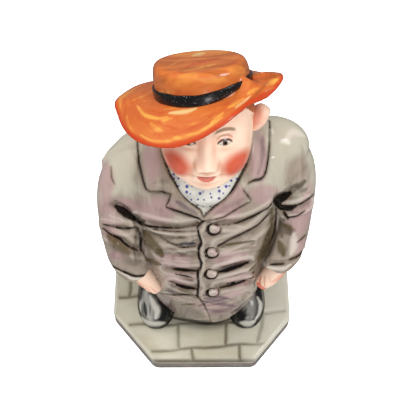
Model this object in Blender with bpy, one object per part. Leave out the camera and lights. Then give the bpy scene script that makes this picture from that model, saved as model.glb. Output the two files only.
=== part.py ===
"""Porcelain menu holder: a stout man in a tilted hat and a long coat, on a paved base.

The figure and its base are one casting. The figure is drawn in millimetres above the paving at
DRAWN_HEIGHT, and FIGURE_HEIGHT makes it larger or smaller as a whole. What is carved on its front
is set out on a drawing as seen from above at VIEW: x across the drawing, rise up the drawing.
"""
import math

import bmesh
import bpy
import numpy as np
from mathutils import Matrix, Vector
from mathutils.bvhtree import BVHTree

MM = 0.001

# Base, in millimetres
BASE_WIDTH = 66.0
BASE_DEPTH = 70.0
BASE_THICKNESS = 6.5
CANT_ACROSS = 15.6
CANT_ALONG = 18.8
BASE_ARRIS = 1.5
JOINT_WIDTH = 0.9
JOINT_DEPTH = 0.45
JOINT_BORDER = 2.2
# Paving joints: start and end across and along the base, as shares of its width and depth
JOINTS = (
    (-0.50, -0.457, 0.50, -0.383),
    (-0.50, -0.292, 0.20, -0.279),
    (0.24, -0.268, 0.50, -0.205),
    (-0.50, -0.134, -0.10, -0.114),
    (-0.50, 0.020, 0.50, 0.030),
    (-0.50, 0.170, 0.50, 0.165),
    (-0.50, 0.310, 0.50, 0.315),
    (-0.50, 0.430, 0.50, 0.435),
    (-0.139, -0.283, -0.124, -0.424),
    (0.130, -0.283, 0.136, -0.408),
    (0.340, -0.240, 0.310, -0.395),
    (-0.055, -0.428, -0.050, -0.500),
    (0.212, -0.405, 0.206, -0.500),
    (-0.408, 0.020, -0.412, -0.128),
    (0.400, 0.028, 0.402, 0.168),
    (-0.300, 0.022, -0.302, 0.170),
    (-0.130, 0.168, -0.128, 0.312),
    (0.190, 0.166, 0.188, 0.313),
    (-0.400, 0.169, -0.402, 0.311),
    (0.020, 0.312, 0.022, 0.433),
    (-0.250, 0.311, -0.252, 0.431),
    (0.300, 0.314, 0.302, 0.434),
    (-0.120, 0.432, -0.118, 0.500),
    (0.160, 0.433, 0.162, 0.500),
)

# Card slot in the ledge of the coat tail, in millimetres
SLOT_LENGTH = 25.0
SLOT_WIDTH = 4.6
SLOT_DEPTH = 14.0
SLOT_GAP = 1.6

# Figure, in millimetres at its drawn height
FIGURE_HEIGHT = 129.0
DRAWN_HEIGHT = 129.0
FOOTING = 1.5
TROUSER_HEIGHT = 20.0
TROUSER_HALF_WIDTH = 17.5
TROUSER_HALF_DEPTH = 13.5
# Shoes: centre x, centre y, toe turned in degrees
SHOES = ((-17.0, -9.6, 2.5), (16.5, -9.6, -1.0))
SHOE_HALF = (6.3, 12.3, 7.6)
SHOE_BLUNTNESS = 2.4
SOLE_HEIGHT = 1.6
WELT = 0.5
VIEW = math.radians(60.0)
VOXEL = 0.55
TRIANGLES = 8400

# Coat: height, centre x, half width, front y, back y
LEDGE_HEIGHT = 44.0
COAT_STATIONS = (
    (11.6, 1.2, 20.2, -23.8, 22.9),
    (22.0, 1.2, 21.0, -25.2, 22.8),
    (33.5, 1.0, 21.8, -26.2, 22.4),
    (43.0, 1.0, 22.2, -26.2, 21.7),
    (45.6, 1.0, 22.3, -26.0, 12.4),
    (56.5, 1.0, 22.6, -24.6, 12.0),
    (67.5, 1.2, 22.6, -22.8, 12.0),
    (78.5, 1.6, 22.2, -21.0, 12.0),
    (86.0, 2.2, 20.5, -18.6, 11.5),
    (92.0, 2.4, 17.0, -15.0, 10.5),
    (96.5, 1.6, 12.5, -10.5, 8.5),
)
COAT_SIDE_Y = -3.0
CORNER_TURN = math.radians(-76.0)
CORNER_DROP = 1.5
CORNER_SPREAD = math.radians(16.0)
COAT_SQUARENESS = 2.15
TAIL_SQUARENESS = 3.3

# Arms: centre x, centre y, height, radius, from the shoulder to the cuff
RIGHT_ARM = (
    (19.5, 1.0, 87.0, 9.4),
    (24.7, -1.0, 79.0, 9.4),
    (26.8, -4.5, 69.0, 8.4),
    (27.0, -9.0, 58.5, 7.7),
    (26.8, -12.6, 50.5, 7.0),
    (26.4, -14.3, 46.2, 6.7),
)
LEFT_ARM = (
    (-16.5, 0.0, 82.0, 8.8),
    (-21.8, -2.5, 76.0, 8.8),
    (-24.5, -6.5, 66.5, 8.2),
    (-25.1, -10.5, 56.0, 7.4),
    (-24.8, -13.8, 47.5, 6.6),
    (-23.2, -16.2, 42.4, 5.8),
    (-20.9, -17.6, 39.0, 4.4),
)
RIGHT_HAND = (
    (26.4, -14.6, 47.0, 4.6),
    (25.6, -16.6, 41.6, 4.3),
    (23.2, -18.2, 36.8, 3.7),
    (20.2, -19.4, 33.2, 2.5),
)
LEFT_HAND = (
    (-21.4, -17.0, 41.0, 3.6),
    (-19.4, -18.1, 37.2, 3.5),
    (-17.2, -19.2, 33.8, 3.1),
    (-15.6, -19.9, 31.0, 2.3),
)

# Carving on the coat, on the drawing
FRONT_EDGE = ((-14.5, 4.6), (-9.4, 2.7), (-5.0, 0.2), (-3.3, -1.4), (5.5, -0.4), (10.3, -1.4), (15.2, -0.5), (22.0, -0.9))
EDGE_PROUD = 0.8
EDGE_REACH = 7.0
BUTTONS = ((3.1, 19.6), (2.7, 12.3), (2.7, 5.1), (3.2, -1.8))
BUTTON_RADIUS = 2.1
BUTTON_PROUD = 1.1
LAPEL_PROUD = 1.1
LEFT_LAPEL = (
    (-19.0, 43.0), (-17.7, 36.9), (-15.9, 31.0), (-13.2, 30.2), (-10.5, 29.9), (-8.8, 28.9), (-10.0, 26.9),
    (-6.6, 24.6), (-2.2, 23.1), (0.3, 22.7), (-0.8, 24.1), (-5.1, 28.1), (-8.7, 34.2), (-10.4, 38.0), (-11.6, 43.0),
)
RIGHT_LAPEL = (
    (19.4, 49.0), (19.6, 43.0), (19.4, 39.0), (17.6, 33.9), (15.0, 32.4), (12.0, 31.4), (13.0, 28.0),
    (9.3, 25.2), (5.6, 23.1), (0.3, 22.3), (2.1, 24.3), (7.2, 28.6), (11.4, 33.7), (13.1, 37.9), (13.6, 49.0),
)
NECK_OPENING = ((0.2, 22.8), (-5.4, 28.1), (-9.0, 34.2), (-11.0, 40.0), (-11.0, 50.0), (13.0, 50.0), (13.2, 38.0),
                (11.4, 33.7), (7.2, 28.6))
COLLAR_BACK_HEIGHT = 88.0
COLLAR_BACK_SLOPE = 0.35
SKIRT_FOLDS = 9
SKIRT_FOLD_DEPTH = 0.8
# Folds: three points of the line on the drawing, depth, half width
FOLDS = (
    (-19.9, 22.4, -9.5, 20.0, -1.7, 20.7, 0.9, 0.9),
    (-19.4, 20.1, -13.4, 17.2, -5.9, 16.8, 0.7, 1.0),
    (-8.5, 14.0, -5.0, 14.3, -1.5, 15.3, 0.6, 0.8),
    (-13.7, 12.2, -7.9, 11.3, -1.5, 11.5, 0.7, 0.9),
    (-11.6, 6.6, -7.1, 6.1, -1.5, 6.1, 0.8, 0.8),
    (-9.6, 1.2, -4.3, -0.4, -1.6, 0.1, 0.8, 0.9),
    (-11.0, -0.6, -6.4, -2.9, -1.8, -3.2, 0.6, 0.8),
    (-31.0, 20.4, -24.4, 19.6, -20.3, 20.2, 0.7, 0.8),
    (-31.0, 18.6, -26.1, 16.1, -20.4, 11.8, 0.8, 1.0),
    (-26.5, 26.4, -23.2, 24.4, -20.0, 22.2, 1.5, 1.3),
    (-19.7, 22.0, -19.9, 16.0, -20.6, 9.0, 1.0, 1.1),
    (5.0, 21.4, 13.0, 21.9, 21.4, 26.3, 0.9, 0.9),
    (5.2, 14.3, 15.0, 18.6, 21.8, 25.4, 0.9, 1.0),
    (5.6, 13.6, 10.0, 14.0, 14.7, 15.2, 0.6, 0.8),
    (5.0, 5.9, 9.3, 7.0, 14.6, 8.2, 1.0, 0.9),
    (5.1, 0.0, 11.6, 1.1, 16.0, 1.2, 0.8, 0.9),
    (22.2, 27.4, 22.2, 18.0, 17.5, 5.0, 1.1, 1.2),
    (22.0, 28.0, 25.6, 29.6, 30.0, 31.6, 1.9, 1.7),
    (24.0, 25.2, 28.5, 25.8, 32.0, 27.2, 0.9, 0.9),
    (23.5, 22.0, 25.5, 19.0, 27.6, 16.2, 0.6, 1.3),
    (22.0, 8.6, 27.0, 8.4, 32.5, 11.6, 0.5, 0.6),
    (0.5, -6.7, 7.0, -6.4, 15.0, -4.4, 0.6, 1.0),
    (3.0, -9.0, 6.0, -8.6, 11.0, -7.4, 0.5, 1.0),
)

# Head
HEAD_CENTRE = (0.9, -5.8, 108.0)
HEAD_HALF = (12.8, 13.4, 16.6)
HEAD_TILT = math.radians(30.0)
JAW_FULLNESS = 2.7
EAR_HALF = (2.2, 3.0, 4.2)
EAR_APART = 14.9
EAR_SET_BACK = 1.6
EAR_RISE = 0.8

# Hat
HAT_CENTRE = (0.3, -1.5, 116.0)
HAT_TILT = math.radians(32.0)
HAT_ROLL = math.radians(10.0)
CROWN_HALF_WIDTH = 13.0
CROWN_HALF_DEPTH = 11.3
CROWN_HEIGHT = 9.4
BAND_HEIGHT = 3.4
BAND_PROUD = 0.5
BRIM_THICKNESS = 2.8
# Where the brim is swept up against the crown: height, and turn and spread in degrees
FOLD_RISE = 6.0
FOLD_TURN = -27.0
FOLD_SPREAD = 12.0
# Brim: angle in degrees from the viewer's right, radius, height of the rim above the crown's foot
BRIM_STATIONS = (
    (-180.0, 24.2, -0.2),
    (-165.0, 23.9, -2.2),
    (-148.0, 23.8, -4.2),
    (-130.0, 23.2, -5.9),
    (-112.0, 21.7, -6.5),
    (-91.0, 20.6, -4.9),
    (-75.0, 20.4, -2.5),
    (-57.0, 18.8, -0.6),
    (-43.0, 17.7, -0.2),
    (-28.0, 18.4, -0.8),
    (-10.0, 20.8, 1.4),
    (-2.0, 21.7, 2.6),
    (5.0, 21.3, 2.7),
    (15.0, 19.2, 1.2),
    (40.0, 19.0, -0.6),
    (90.0, 19.0, -1.0),
    (130.0, 19.9, -0.6),
    (156.0, 21.6, 0.2),
    (170.0, 22.6, 0.2),
)


def smooth_table(table, x, period=None):
    """Columns of a table read at x on a smooth curve that never swings past its rows."""
    rows = np.array(table, dtype=float)
    if period:
        ahead = rows[:2] + np.array([period] + [0.0] * (rows.shape[1] - 1))
        behind = rows[-2:] - np.array([period] + [0.0] * (rows.shape[1] - 1))
        rows = np.vstack((behind, rows, ahead))
    keys = rows[:, 0]
    values = rows[:, 1:]
    rates = np.diff(values, axis=0) / np.diff(keys)[:, None]
    slopes = np.vstack((rates[:1], rates[:-1], rates[-1:]))[:len(keys)]
    before, after = rates[:-1], rates[1:]
    level = before * after <= 0.0
    slopes[1:-1] = np.where(level, 0.0, 2.0 * before * after / np.where(level, 1.0, before + after))
    x = min(max(x, keys[0]), keys[-1])
    i = min(int(np.searchsorted(keys, x, side="right")) - 1, len(keys) - 2)
    span = keys[i + 1] - keys[i]
    t = (x - keys[i]) / span
    read = (
        values[i] * (2 * t ** 3 - 3 * t ** 2 + 1)
        + values[i + 1] * (3 * t ** 2 - 2 * t ** 3)
        + slopes[i] * span * (t ** 3 - 2 * t ** 2 + t)
        + slopes[i + 1] * span * (t ** 3 - t ** 2)
    )
    return read.tolist()


def mapped_solid(columns, rows, place):
    """A closed tube of quads whose points are placed by a rule of two shares from 0 to 1."""
    shape = bmesh.new()
    bmesh.ops.create_grid(shape, x_segments=columns, y_segments=rows, size=0.5)
    for vert in shape.verts:
        vert.co = place(vert.co.x + 0.5, vert.co.y + 0.5)
    bmesh.ops.remove_doubles(shape, verts=shape.verts, dist=0.001)
    ends = [edge for edge in shape.edges if edge.is_boundary]
    bmesh.ops.holes_fill(shape, edges=ends)
    bmesh.ops.recalc_face_normals(shape, faces=shape.faces)
    return shape


def ellipsoid(centre, half, turn=None):
    """A round form with three half sizes."""
    shape = bmesh.new()
    place = Matrix.Translation(centre) @ (turn or Matrix.Identity(4)) @ Matrix.Diagonal((*half, 1.0))
    bmesh.ops.create_uvsphere(shape, u_segments=32, v_segments=20, radius=1.0, matrix=place)
    return shape


def coat_point(turn, height):
    """A point on the coat at an angle about its axis, measured from the viewer's right."""
    centre_x, half_width, front, back = smooth_table(COAT_STATIONS, height)
    c = math.cos(turn)
    s = math.sin(turn)
    tail = 1.0 / (1.0 + math.exp((height - LEDGE_HEIGHT - 1.6) / 0.6)) if s > 0.0 else 0.0
    power = 2.0 / (COAT_SQUARENESS + (TAIL_SQUARENESS - COAT_SQUARENESS) * tail)
    x = centre_x + half_width * math.copysign(abs(c) ** power, c)
    depth = (back - COAT_SIDE_Y) if s > 0.0 else (COAT_SIDE_Y - front)
    y = COAT_SIDE_Y + depth * math.copysign(abs(s) ** power, s)
    return Vector((x, y, height)) + skirt_relief(turn, height) * Vector((c, s, 0.0))


def skirt_relief(turn, height):
    """Soft upright folds round the sides and back of the skirt, fading out at the front and waist."""
    low = min(1.0, max(0.0, (LEDGE_HEIGHT - 3.0 - height) / 16.0))
    away = 0.5 + 0.5 * math.sin(turn)
    return SKIRT_FOLD_DEPTH * low * away * math.cos(SKIRT_FOLDS * (turn - 0.5 * math.pi))


def coat_body():
    """The coat from its hem to the neck."""
    high = COAT_STATIONS[-1][0]

    def place(u, v):
        turn = 2.0 * math.pi * u - math.pi
        low = COAT_STATIONS[0][0] - CORNER_DROP * math.exp(-((turn - CORNER_TURN) / CORNER_SPREAD) ** 2)
        return coat_point(turn, low + (high - low) * v)

    return mapped_solid(120, 90, place)


def arm(stations):
    """A sleeve along its centre line, round across."""
    rows = np.array(stations)
    keyed = np.column_stack((np.arange(len(rows)), rows))
    last = len(rows) - 1

    def place(u, v):
        step = v * last
        here = smooth_table(keyed, step)
        ahead = smooth_table(keyed, step + 0.05)
        behind = smooth_table(keyed, step - 0.05)
        along = (Vector(ahead[:3]) - Vector(behind[:3])).normalized()
        across = along.cross(Vector((0.0, 1.0, 0.0))).normalized()
        deep = along.cross(across)
        turn = 2.0 * math.pi * u
        return Vector(here[:3]) + here[3] * (across * math.cos(turn) + deep * math.sin(turn))

    return mapped_solid(32, 30, place)


def head_matrix():
    return Matrix.Translation(HEAD_CENTRE) @ Matrix.Rotation(-HEAD_TILT, 4, "X")


def mound(points, x, z, wide, high):
    """A soft round swelling of 1 on the face, centred at x and z as shares of the head's half sizes."""
    return np.exp(-((points[:, 0] - x) / wide) ** 2 - ((points[:, 2] - z) / high) ** 2)


def face_relief(points):
    """How far each point of a unit head stands out, in millimetres: calm, on plain proportions."""
    front = np.clip(-points[:, 1] * 2.5, 0.0, 1.0)
    out = 1.3 * mound(points, 0.0, -0.84, 0.30, 0.13)
    out += 2.3 * mound(points, 0.0, -0.34, 0.15, 0.12) + 1.5 * mound(points, 0.0, -0.12, 0.12, 0.22)
    out += -0.5 * mound(points, 0.0, 0.10, 0.16, 0.09)
    out += 0.5 * mound(points, 0.0, -0.56, 0.24, 0.05) + 0.55 * mound(points, 0.0, -0.68, 0.20, 0.06)
    out += -0.5 * mound(points, 0.0, -0.617, 0.25, 0.022) - 0.5 * mound(points, 0.0, -0.76, 0.22, 0.045)
    for side in (-1.0, 1.0):
        out += 0.55 * mound(points, 0.38 * side, 0.20, 0.26, 0.07)
        out += -1.3 * mound(points, 0.38 * side, 0.03, 0.22, 0.13)
        out += 1.15 * mound(points, 0.38 * side, 0.0, 0.15, 0.085)
        out += 1.4 * mound(points, 0.15 * side, -0.37, 0.07, 0.07)
        out += 1.3 * mound(points, 0.52 * side, -0.38, 0.26, 0.24)
        out += -0.5 * mound(points, 0.27 * side, -0.52, 0.05, 0.16)
    hair = 1.0 / (1.0 + np.exp(-(points[:, 1] - 0.12 + 0.5 * np.clip(-points[:, 2], 0.0, 1.0)) / 0.03))
    return out * front + 0.7 * hair * (points[:, 2] > -0.75)


def head():
    """The skull, jaw and features."""
    shape = bmesh.new()
    bmesh.ops.create_uvsphere(shape, u_segments=120, v_segments=90, radius=1.0)
    unit = np.array([tuple(vert.co) for vert in shape.verts])
    relief = face_relief(unit)
    half = Vector(HEAD_HALF)
    for vert, out in zip(shape.verts, relief):
        outward = vert.co.normalized()
        fullness = JAW_FULLNESS if outward.z < 0.0 else 2.1
        level = math.hypot(outward.x, outward.y)
        fuller = (1.0 - abs(outward.z) ** fullness) ** (1.0 / fullness) / max(level, 0.05)
        spread = min(fuller, 1.6) if level > 0.05 else 1.0
        vert.co = Vector((outward.x * spread, outward.y * spread, outward.z)) * half + outward * out
    shape.transform(head_matrix())
    return shape


def ear(side):
    """A plain rounded ear with a shallow hollow."""
    shape = bmesh.new()
    bmesh.ops.create_uvsphere(shape, u_segments=32, v_segments=24, radius=1.0)
    for vert in shape.verts:
        x, y, z = vert.co
        dish = 0.5 * math.exp(-((y + 0.15) / 0.45) ** 2 - ((z - 0.15) / 0.5) ** 2) if side * x > 0.0 else 0.0
        vert.co = Vector(((x - side * dish) * EAR_HALF[0], y * EAR_HALF[1] * (1.0 + 0.2 * z), z * EAR_HALF[2]))
    place = Vector((side * EAR_APART, EAR_SET_BACK, EAR_RISE))
    shape.transform(head_matrix() @ Matrix.Translation(place) @ Matrix.Rotation(side * 0.25, 4, "Z"))
    return shape


def hat_matrix():
    tilt = Matrix.Rotation(-HAT_ROLL, 4, "Y") @ Matrix.Rotation(-HAT_TILT, 4, "X")
    return Matrix.Translation(HAT_CENTRE) @ tilt


def crown():
    """The crown of the hat: a low wall rounded over into a nearly level top."""
    profile = (
        (0.0, 1.0, -3.0),
        (0.3, 1.0, 0.0),
        (0.46, 0.99, 0.40 * CROWN_HEIGHT),
        (0.58, 0.95, 0.68 * CROWN_HEIGHT),
        (0.68, 0.87, 0.88 * CROWN_HEIGHT),
        (0.78, 0.70, 0.98 * CROWN_HEIGHT),
        (1.0, 0.02, 1.01 * CROWN_HEIGHT),
    )

    def place(u, v):
        share, height = smooth_table(profile, v)
        turn = 2.0 * math.pi * u
        band = BAND_PROUD if height < BAND_HEIGHT else 0.0
        x = (CROWN_HALF_WIDTH * share + band) * math.cos(turn)
        y = (CROWN_HALF_DEPTH * share + band) * math.sin(turn)
        return hat_matrix() @ Vector((x, y, height))

    return mapped_solid(48, 32, place)


def brim():
    """The brim: turned down over the brow, pinched up to a point at the viewer's right."""
    inner = 0.7

    def place(u, v):
        degrees = 360.0 * u - 180.0
        radius, rise = smooth_table(BRIM_STATIONS, degrees, period=360.0)
        share = 2.0 * v if v < 0.5 else 2.0 * (1.0 - v)
        turn = math.radians(degrees)
        foot = Vector((CROWN_HALF_WIDTH * inner * math.cos(turn), CROWN_HALF_DEPTH * inner * math.sin(turn)))
        rim = Vector((radius * math.cos(turn), radius * math.sin(turn)))
        x, y = foot.lerp(rim, share)
        half = 0.5 * BRIM_THICKNESS * math.sqrt(max(0.0, 1.0 - share ** 4))
        ridge = 1.5 * math.exp(-((degrees - 3.0) / 8.0) ** 2) * math.sin(math.pi * min(1.0, share * 1.1))
        swept = FOLD_RISE * math.exp(-((degrees - FOLD_TURN) / FOLD_SPREAD) ** 2) * max(0.0, 1.0 - share) ** 0.8
        height = rise * share ** 1.6 + ridge + swept
        return hat_matrix() @ Vector((x, y, height + (half if v < 0.5 else -half)))

    return mapped_solid(120, 32, place)


def shoe(centre_x, centre_y, turn):
    """A broad blunt-toed shoe standing a little into the paving, with its sole as a thin ledge."""
    half_width, half_length, upper = SHOE_HALF
    shape = bmesh.new()
    bmesh.ops.create_uvsphere(shape, u_segments=40, v_segments=24, radius=1.0)
    for vert in shape.verts:
        x, y, z = vert.co
        level = math.hypot(x, y)
        blunt = (abs(x) ** SHOE_BLUNTNESS + abs(y) ** SHOE_BLUNTNESS) ** (1.0 / SHOE_BLUNTNESS)
        fuller = level / blunt if level > 0.001 else 1.0
        welt = WELT if z < 0.0 else 0.0
        tread = 0.5 * math.exp(-((y + 0.35) / 0.5) ** 2)
        deep = upper * z ** 0.8 if z > 0.0 else -(SOLE_HEIGHT + FOOTING) * abs(z) ** 0.5
        vert.co = ((half_width + tread + welt) * x * fuller, (half_length + welt) * y * fuller, SOLE_HEIGHT + deep)
    shape.transform(Matrix.Translation((centre_x, centre_y, 0.0)) @ Matrix.Rotation(math.radians(turn), 4, "Z"))
    return shape


def trousers():
    """What stands in the shade under the hem, joined from leg to leg."""
    def place(u, v):
        turn = 2.0 * math.pi * u
        height = -FOOTING + (TROUSER_HEIGHT + FOOTING) * v
        return Vector((1.0 + TROUSER_HALF_WIDTH * math.cos(turn), -1.5 + TROUSER_HALF_DEPTH * math.sin(turn), height))

    return mapped_solid(40, 4, place)


def oblique(points):
    """Points on the drawing: x across and the rise up it."""
    return np.column_stack((points[:, 0], math.cos(VIEW) * points[:, 2] + math.sin(VIEW) * points[:, 1]))


def line_distance(places, line):
    """Distance on the drawing from each place to a line of points."""
    best = np.full(len(places), 1e9)
    for start, end in zip(line[:-1], line[1:]):
        start = np.array(start)
        run = np.array(end) - start
        share = np.clip(((places - start) @ run) / (run @ run), 0.0, 1.0)
        best = np.minimum(best, np.linalg.norm(places - start - share[:, None] * run, axis=1))
    return best


def inside(places, outline):
    """Which places on the drawing lie inside an outline."""
    held = np.zeros(len(places), dtype=bool)
    x, rise = places[:, 0], places[:, 1]
    for (x0, r0), (x1, r1) in zip(outline, outline[1:] + outline[:1]):
        if r0 != r1:
            crosses = (r0 > rise) != (r1 > rise)
            held ^= crosses & (x < x0 + (rise - r0) * (x1 - x0) / (r1 - r0))
    return held


def plate(places, outline, soft):
    """1 inside an outline, 0 outside, with a soft edge."""
    away = line_distance(places, outline + outline[:1])
    signed = np.where(inside(places, outline), away, -away)
    return np.clip(0.5 + signed / soft, 0.0, 1.0)


def bowed(x0, r0, x1, r1, x2, r2, steps=8):
    """A line that bows through three points."""
    line = []
    for i in range(steps + 1):
        t = i / steps
        a, b, c = (1 - t) * (1 - 2 * t), 4 * t * (1 - t), t * (2 * t - 1)
        line.append((a * x0 + b * x1 + c * x2, a * r0 + b * r1 + c * r2))
    return line


def coat_relief(points, normals, seen):
    """How far each point of the coat moves out: folds, lapels, the front edge and the neck opening."""
    places = oblique(points)
    toward = -normals[:, 1] * math.cos(VIEW) + normals[:, 2] * math.sin(VIEW)
    facing = seen * np.clip(0.15 + 2.0 * toward, 0.0, 1.0)
    out = np.zeros(len(points))
    for *ends, depth, wide in FOLDS:
        away = line_distance(places, bowed(*ends)) / wide
        out += depth * (0.45 * np.exp(-((away - 2.2) / 1.1) ** 2) - np.exp(-away ** 2))
    rises = np.array([row[0] for row in FRONT_EDGE])
    edge = np.interp(places[:, 1], rises, np.array([row[1] for row in FRONT_EDGE]))
    beyond = places[:, 0] - edge
    over = np.clip(beyond / 0.5, 0.0, 1.0) * np.exp(-np.clip(beyond, 0.0, None) / EDGE_REACH)
    out += EDGE_PROUD * over * (places[:, 1] < 22.0) * (beyond < 3.0 * EDGE_REACH)
    out -= 2.0 * plate(places, NECK_OPENING, 0.8)
    lapels = np.maximum(plate(places, LEFT_LAPEL, 0.7), plate(places, RIGHT_LAPEL, 0.7))
    back = points[:, 2] - COLLAR_BACK_HEIGHT - COLLAR_BACK_SLOPE * points[:, 0]
    collar = np.clip(back / 0.7, 0.0, 1.0) * np.clip((points[:, 1] + 1.0) / 1.5, 0.0, 1.0)
    return out * facing + LAPEL_PROUD * np.maximum(lapels * facing, collar)


def button(skin, x, rise):
    """A low round button on the front of the coat, square to it."""
    up_drawing = Vector((0.0, math.sin(VIEW), math.cos(VIEW)))
    into_drawing = Vector((0.0, math.cos(VIEW), -math.sin(VIEW)))
    eye = Vector((x, 0.0, 0.0)) + rise * up_drawing - DRAWN_HEIGHT * into_drawing
    _, point, normal, _ = skin.ray_cast(eye, into_drawing)
    shape = bmesh.new()
    bmesh.ops.create_uvsphere(shape, u_segments=24, v_segments=12, radius=1.0)
    for vert in shape.verts:
        vert.co = (BUTTON_RADIUS * vert.co.x, BUTTON_RADIUS * vert.co.y,
                   BUTTON_PROUD * math.copysign(abs(vert.co.z) ** 0.6, vert.co.z))
    shape.transform(Matrix.Translation(point) @ normal.to_track_quat("Z", "Y").to_matrix().to_4x4())
    return shape


def figure_masses():
    """The main masses of the figure, overlapping where they are one."""
    coat = fused([coat_body(), arm(RIGHT_ARM), arm(LEFT_ARM),
                  ellipsoid((20.0, 1.0, 87.3), (11.8, 9.0, 8.2)),
                  ellipsoid((-16.8, 0.5, 81.6), (10.3, 8.7, 8.0))], 4)
    carve(coat, coat_relief)
    shapes = [bmesh.new()]
    shapes[0].from_mesh(coat.data)
    for x, rise in BUTTONS:
        shapes.append(button(coat, x, rise))
    bpy.data.objects.remove(coat)
    shapes += [arm(RIGHT_HAND), arm(LEFT_HAND), head(), crown(), brim()]
    shapes.append(ellipsoid((0.9, -8.8, 86.8), (10.8, 10.0, 9.2)))
    for side in (-1.0, 1.0):
        shapes.append(ear(side))
    shapes += [shoe(*place) for place in SHOES]
    shapes.append(trousers())
    return shapes


def object_from(shape, name):
    mesh = bpy.data.meshes.new(name)
    shape.to_mesh(mesh)
    shape.free()
    item = bpy.data.objects.new(name, mesh)
    bpy.context.scene.collection.objects.link(item)
    return item


def baked(item, name):
    """The evaluated mesh of an object as a new object, with the old one removed."""
    bpy.context.view_layer.update()
    graph = bpy.context.evaluated_depsgraph_get()
    mesh = bpy.data.meshes.new_from_object(item.evaluated_get(graph))
    bpy.data.objects.remove(item)
    mesh.name = name
    result = bpy.data.objects.new(name, mesh)
    bpy.context.scene.collection.objects.link(result)
    return result


def fused(shapes, soften_steps):
    """All the masses as one skin."""
    whole = bmesh.new()
    for shape in shapes:
        part = bpy.data.meshes.new("mass")
        shape.to_mesh(part)
        shape.free()
        whole.from_mesh(part)
        bpy.data.meshes.remove(part)
    item = object_from(whole, "masses")
    remesh = item.modifiers.new("One skin", "REMESH")
    remesh.mode = "VOXEL"
    remesh.voxel_size = VOXEL
    soften = item.modifiers.new("Soften", "SMOOTH")
    soften.factor = 0.5
    soften.iterations = soften_steps
    return baked(item, "skin")


def carve(item, rule):
    """Moves each point of a skin out by a rule of points, normals and what the drawing's view reaches."""
    mesh = item.data
    points = np.empty(3 * len(mesh.vertices))
    normals = np.empty(3 * len(mesh.vertices))
    mesh.vertices.foreach_get("co", points)
    mesh.vertices.foreach_get("normal", normals)
    points = points.reshape(-1, 3)
    normals = normals.reshape(-1, 3)
    bare = bmesh.new()
    bare.from_mesh(mesh)
    tree = BVHTree.FromBMesh(bare)
    bare.free()
    out_of_drawing = Vector((0.0, -math.cos(VIEW), math.sin(VIEW)))
    seen = [tree.ray_cast(Vector(p) + Vector(n), out_of_drawing)[0] is None for p, n in zip(points, normals)]
    points += rule(points, normals, np.array(seen, dtype=float))[:, None] * normals
    mesh.vertices.foreach_set("co", points.ravel())
    mesh.update()


def canted_prism(margin, low, high):
    """The outline of the base, drawn in by a margin, as an upright prism."""
    half_w = BASE_WIDTH / 2.0 - margin
    half_d = BASE_DEPTH / 2.0 - margin
    shape = bmesh.new()
    corners = []
    for sx, sy in ((1, -1), (1, 1), (-1, 1), (-1, -1)):
        across = (sx * (half_w - CANT_ACROSS), sy * half_d)
        along = (sx * half_w, sy * (half_d - CANT_ALONG))
        corners += [across, along] if sx == -sy else [along, across]
    foot = shape.faces.new([shape.verts.new((x, y, low)) for x, y in corners])
    top = bmesh.ops.extrude_face_region(shape, geom=[foot])
    raised = [v for v in top["geom"] if isinstance(v, bmesh.types.BMVert)]
    bmesh.ops.translate(shape, verts=raised, vec=(0.0, 0.0, high - low))
    bmesh.ops.recalc_face_normals(shape, faces=shape.faces)
    return shape


def joint_cutter():
    """All the paving joints as one cutter, kept inside a plain border."""
    shape = bmesh.new()
    for x0, y0, x1, y1 in JOINTS:
        start = Vector((x0 * BASE_WIDTH, y0 * BASE_DEPTH, BASE_THICKNESS))
        end = Vector((x1 * BASE_WIDTH, y1 * BASE_DEPTH, BASE_THICKNESS))
        run = end - start
        place = Matrix.Translation(start.lerp(end, 0.5)) @ run.to_track_quat("X", "Z").to_matrix().to_4x4()
        size = Matrix.Diagonal((run.length, JOINT_WIDTH, 2.0 * JOINT_DEPTH, 1.0))
        bmesh.ops.create_cube(shape, size=1.0, matrix=place @ size)
    joints = object_from(shape, "joints")
    border = object_from(canted_prism(JOINT_BORDER, 0.0, 2.0 * BASE_THICKNESS), "border")
    return combine(joints, "INTERSECT", border, "joints", overlapping=True)


def base_solid():
    """The canted base with a softened top arris and the joints of its paving."""
    shape = canted_prism(0.0, 0.0, BASE_THICKNESS)
    rim = [e for e in shape.edges if all(v.co.z > BASE_THICKNESS * 0.5 for v in e.verts)]
    bmesh.ops.bevel(shape, geom=rim, offset=BASE_ARRIS, segments=3, profile=0.5, affect="EDGES", material=-1)
    return combine(object_from(shape, "base"), "DIFFERENCE", joint_cutter(), "base")


def slot_cutter(scale):
    """The card slot, upright behind the waist, from above the ledge of the coat tail down into it."""
    waist_back = smooth_table(COAT_STATIONS, LEDGE_HEIGHT + 2.0)[3] * scale
    mouth = Vector((0.0, waist_back + SLOT_GAP + SLOT_WIDTH / 2.0, BASE_THICKNESS + LEDGE_HEIGHT * scale))
    above = 0.5 * SLOT_DEPTH
    shape = bmesh.new()
    size = Matrix.Diagonal((SLOT_LENGTH, SLOT_WIDTH, SLOT_DEPTH + above, 1.0))
    mouth.z += (above - SLOT_DEPTH) / 2.0
    bmesh.ops.create_cube(shape, size=1.0, matrix=Matrix.Translation(mouth) @ size)
    return object_from(shape, "slot")


def glazed_porcelain():
    """One glaze for the whole casting: the grey and mauve brown of the coat."""
    glaze = bpy.data.materials.new("Glazed porcelain")
    glaze.use_nodes = True
    shader = glaze.node_tree.nodes["Principled BSDF"]
    shader.inputs["Base Color"].default_value = (0.34, 0.30, 0.27, 1.0)
    shader.inputs["Roughness"].default_value = 0.15
    shader.inputs["Metallic"].default_value = 0.0
    return glaze


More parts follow.
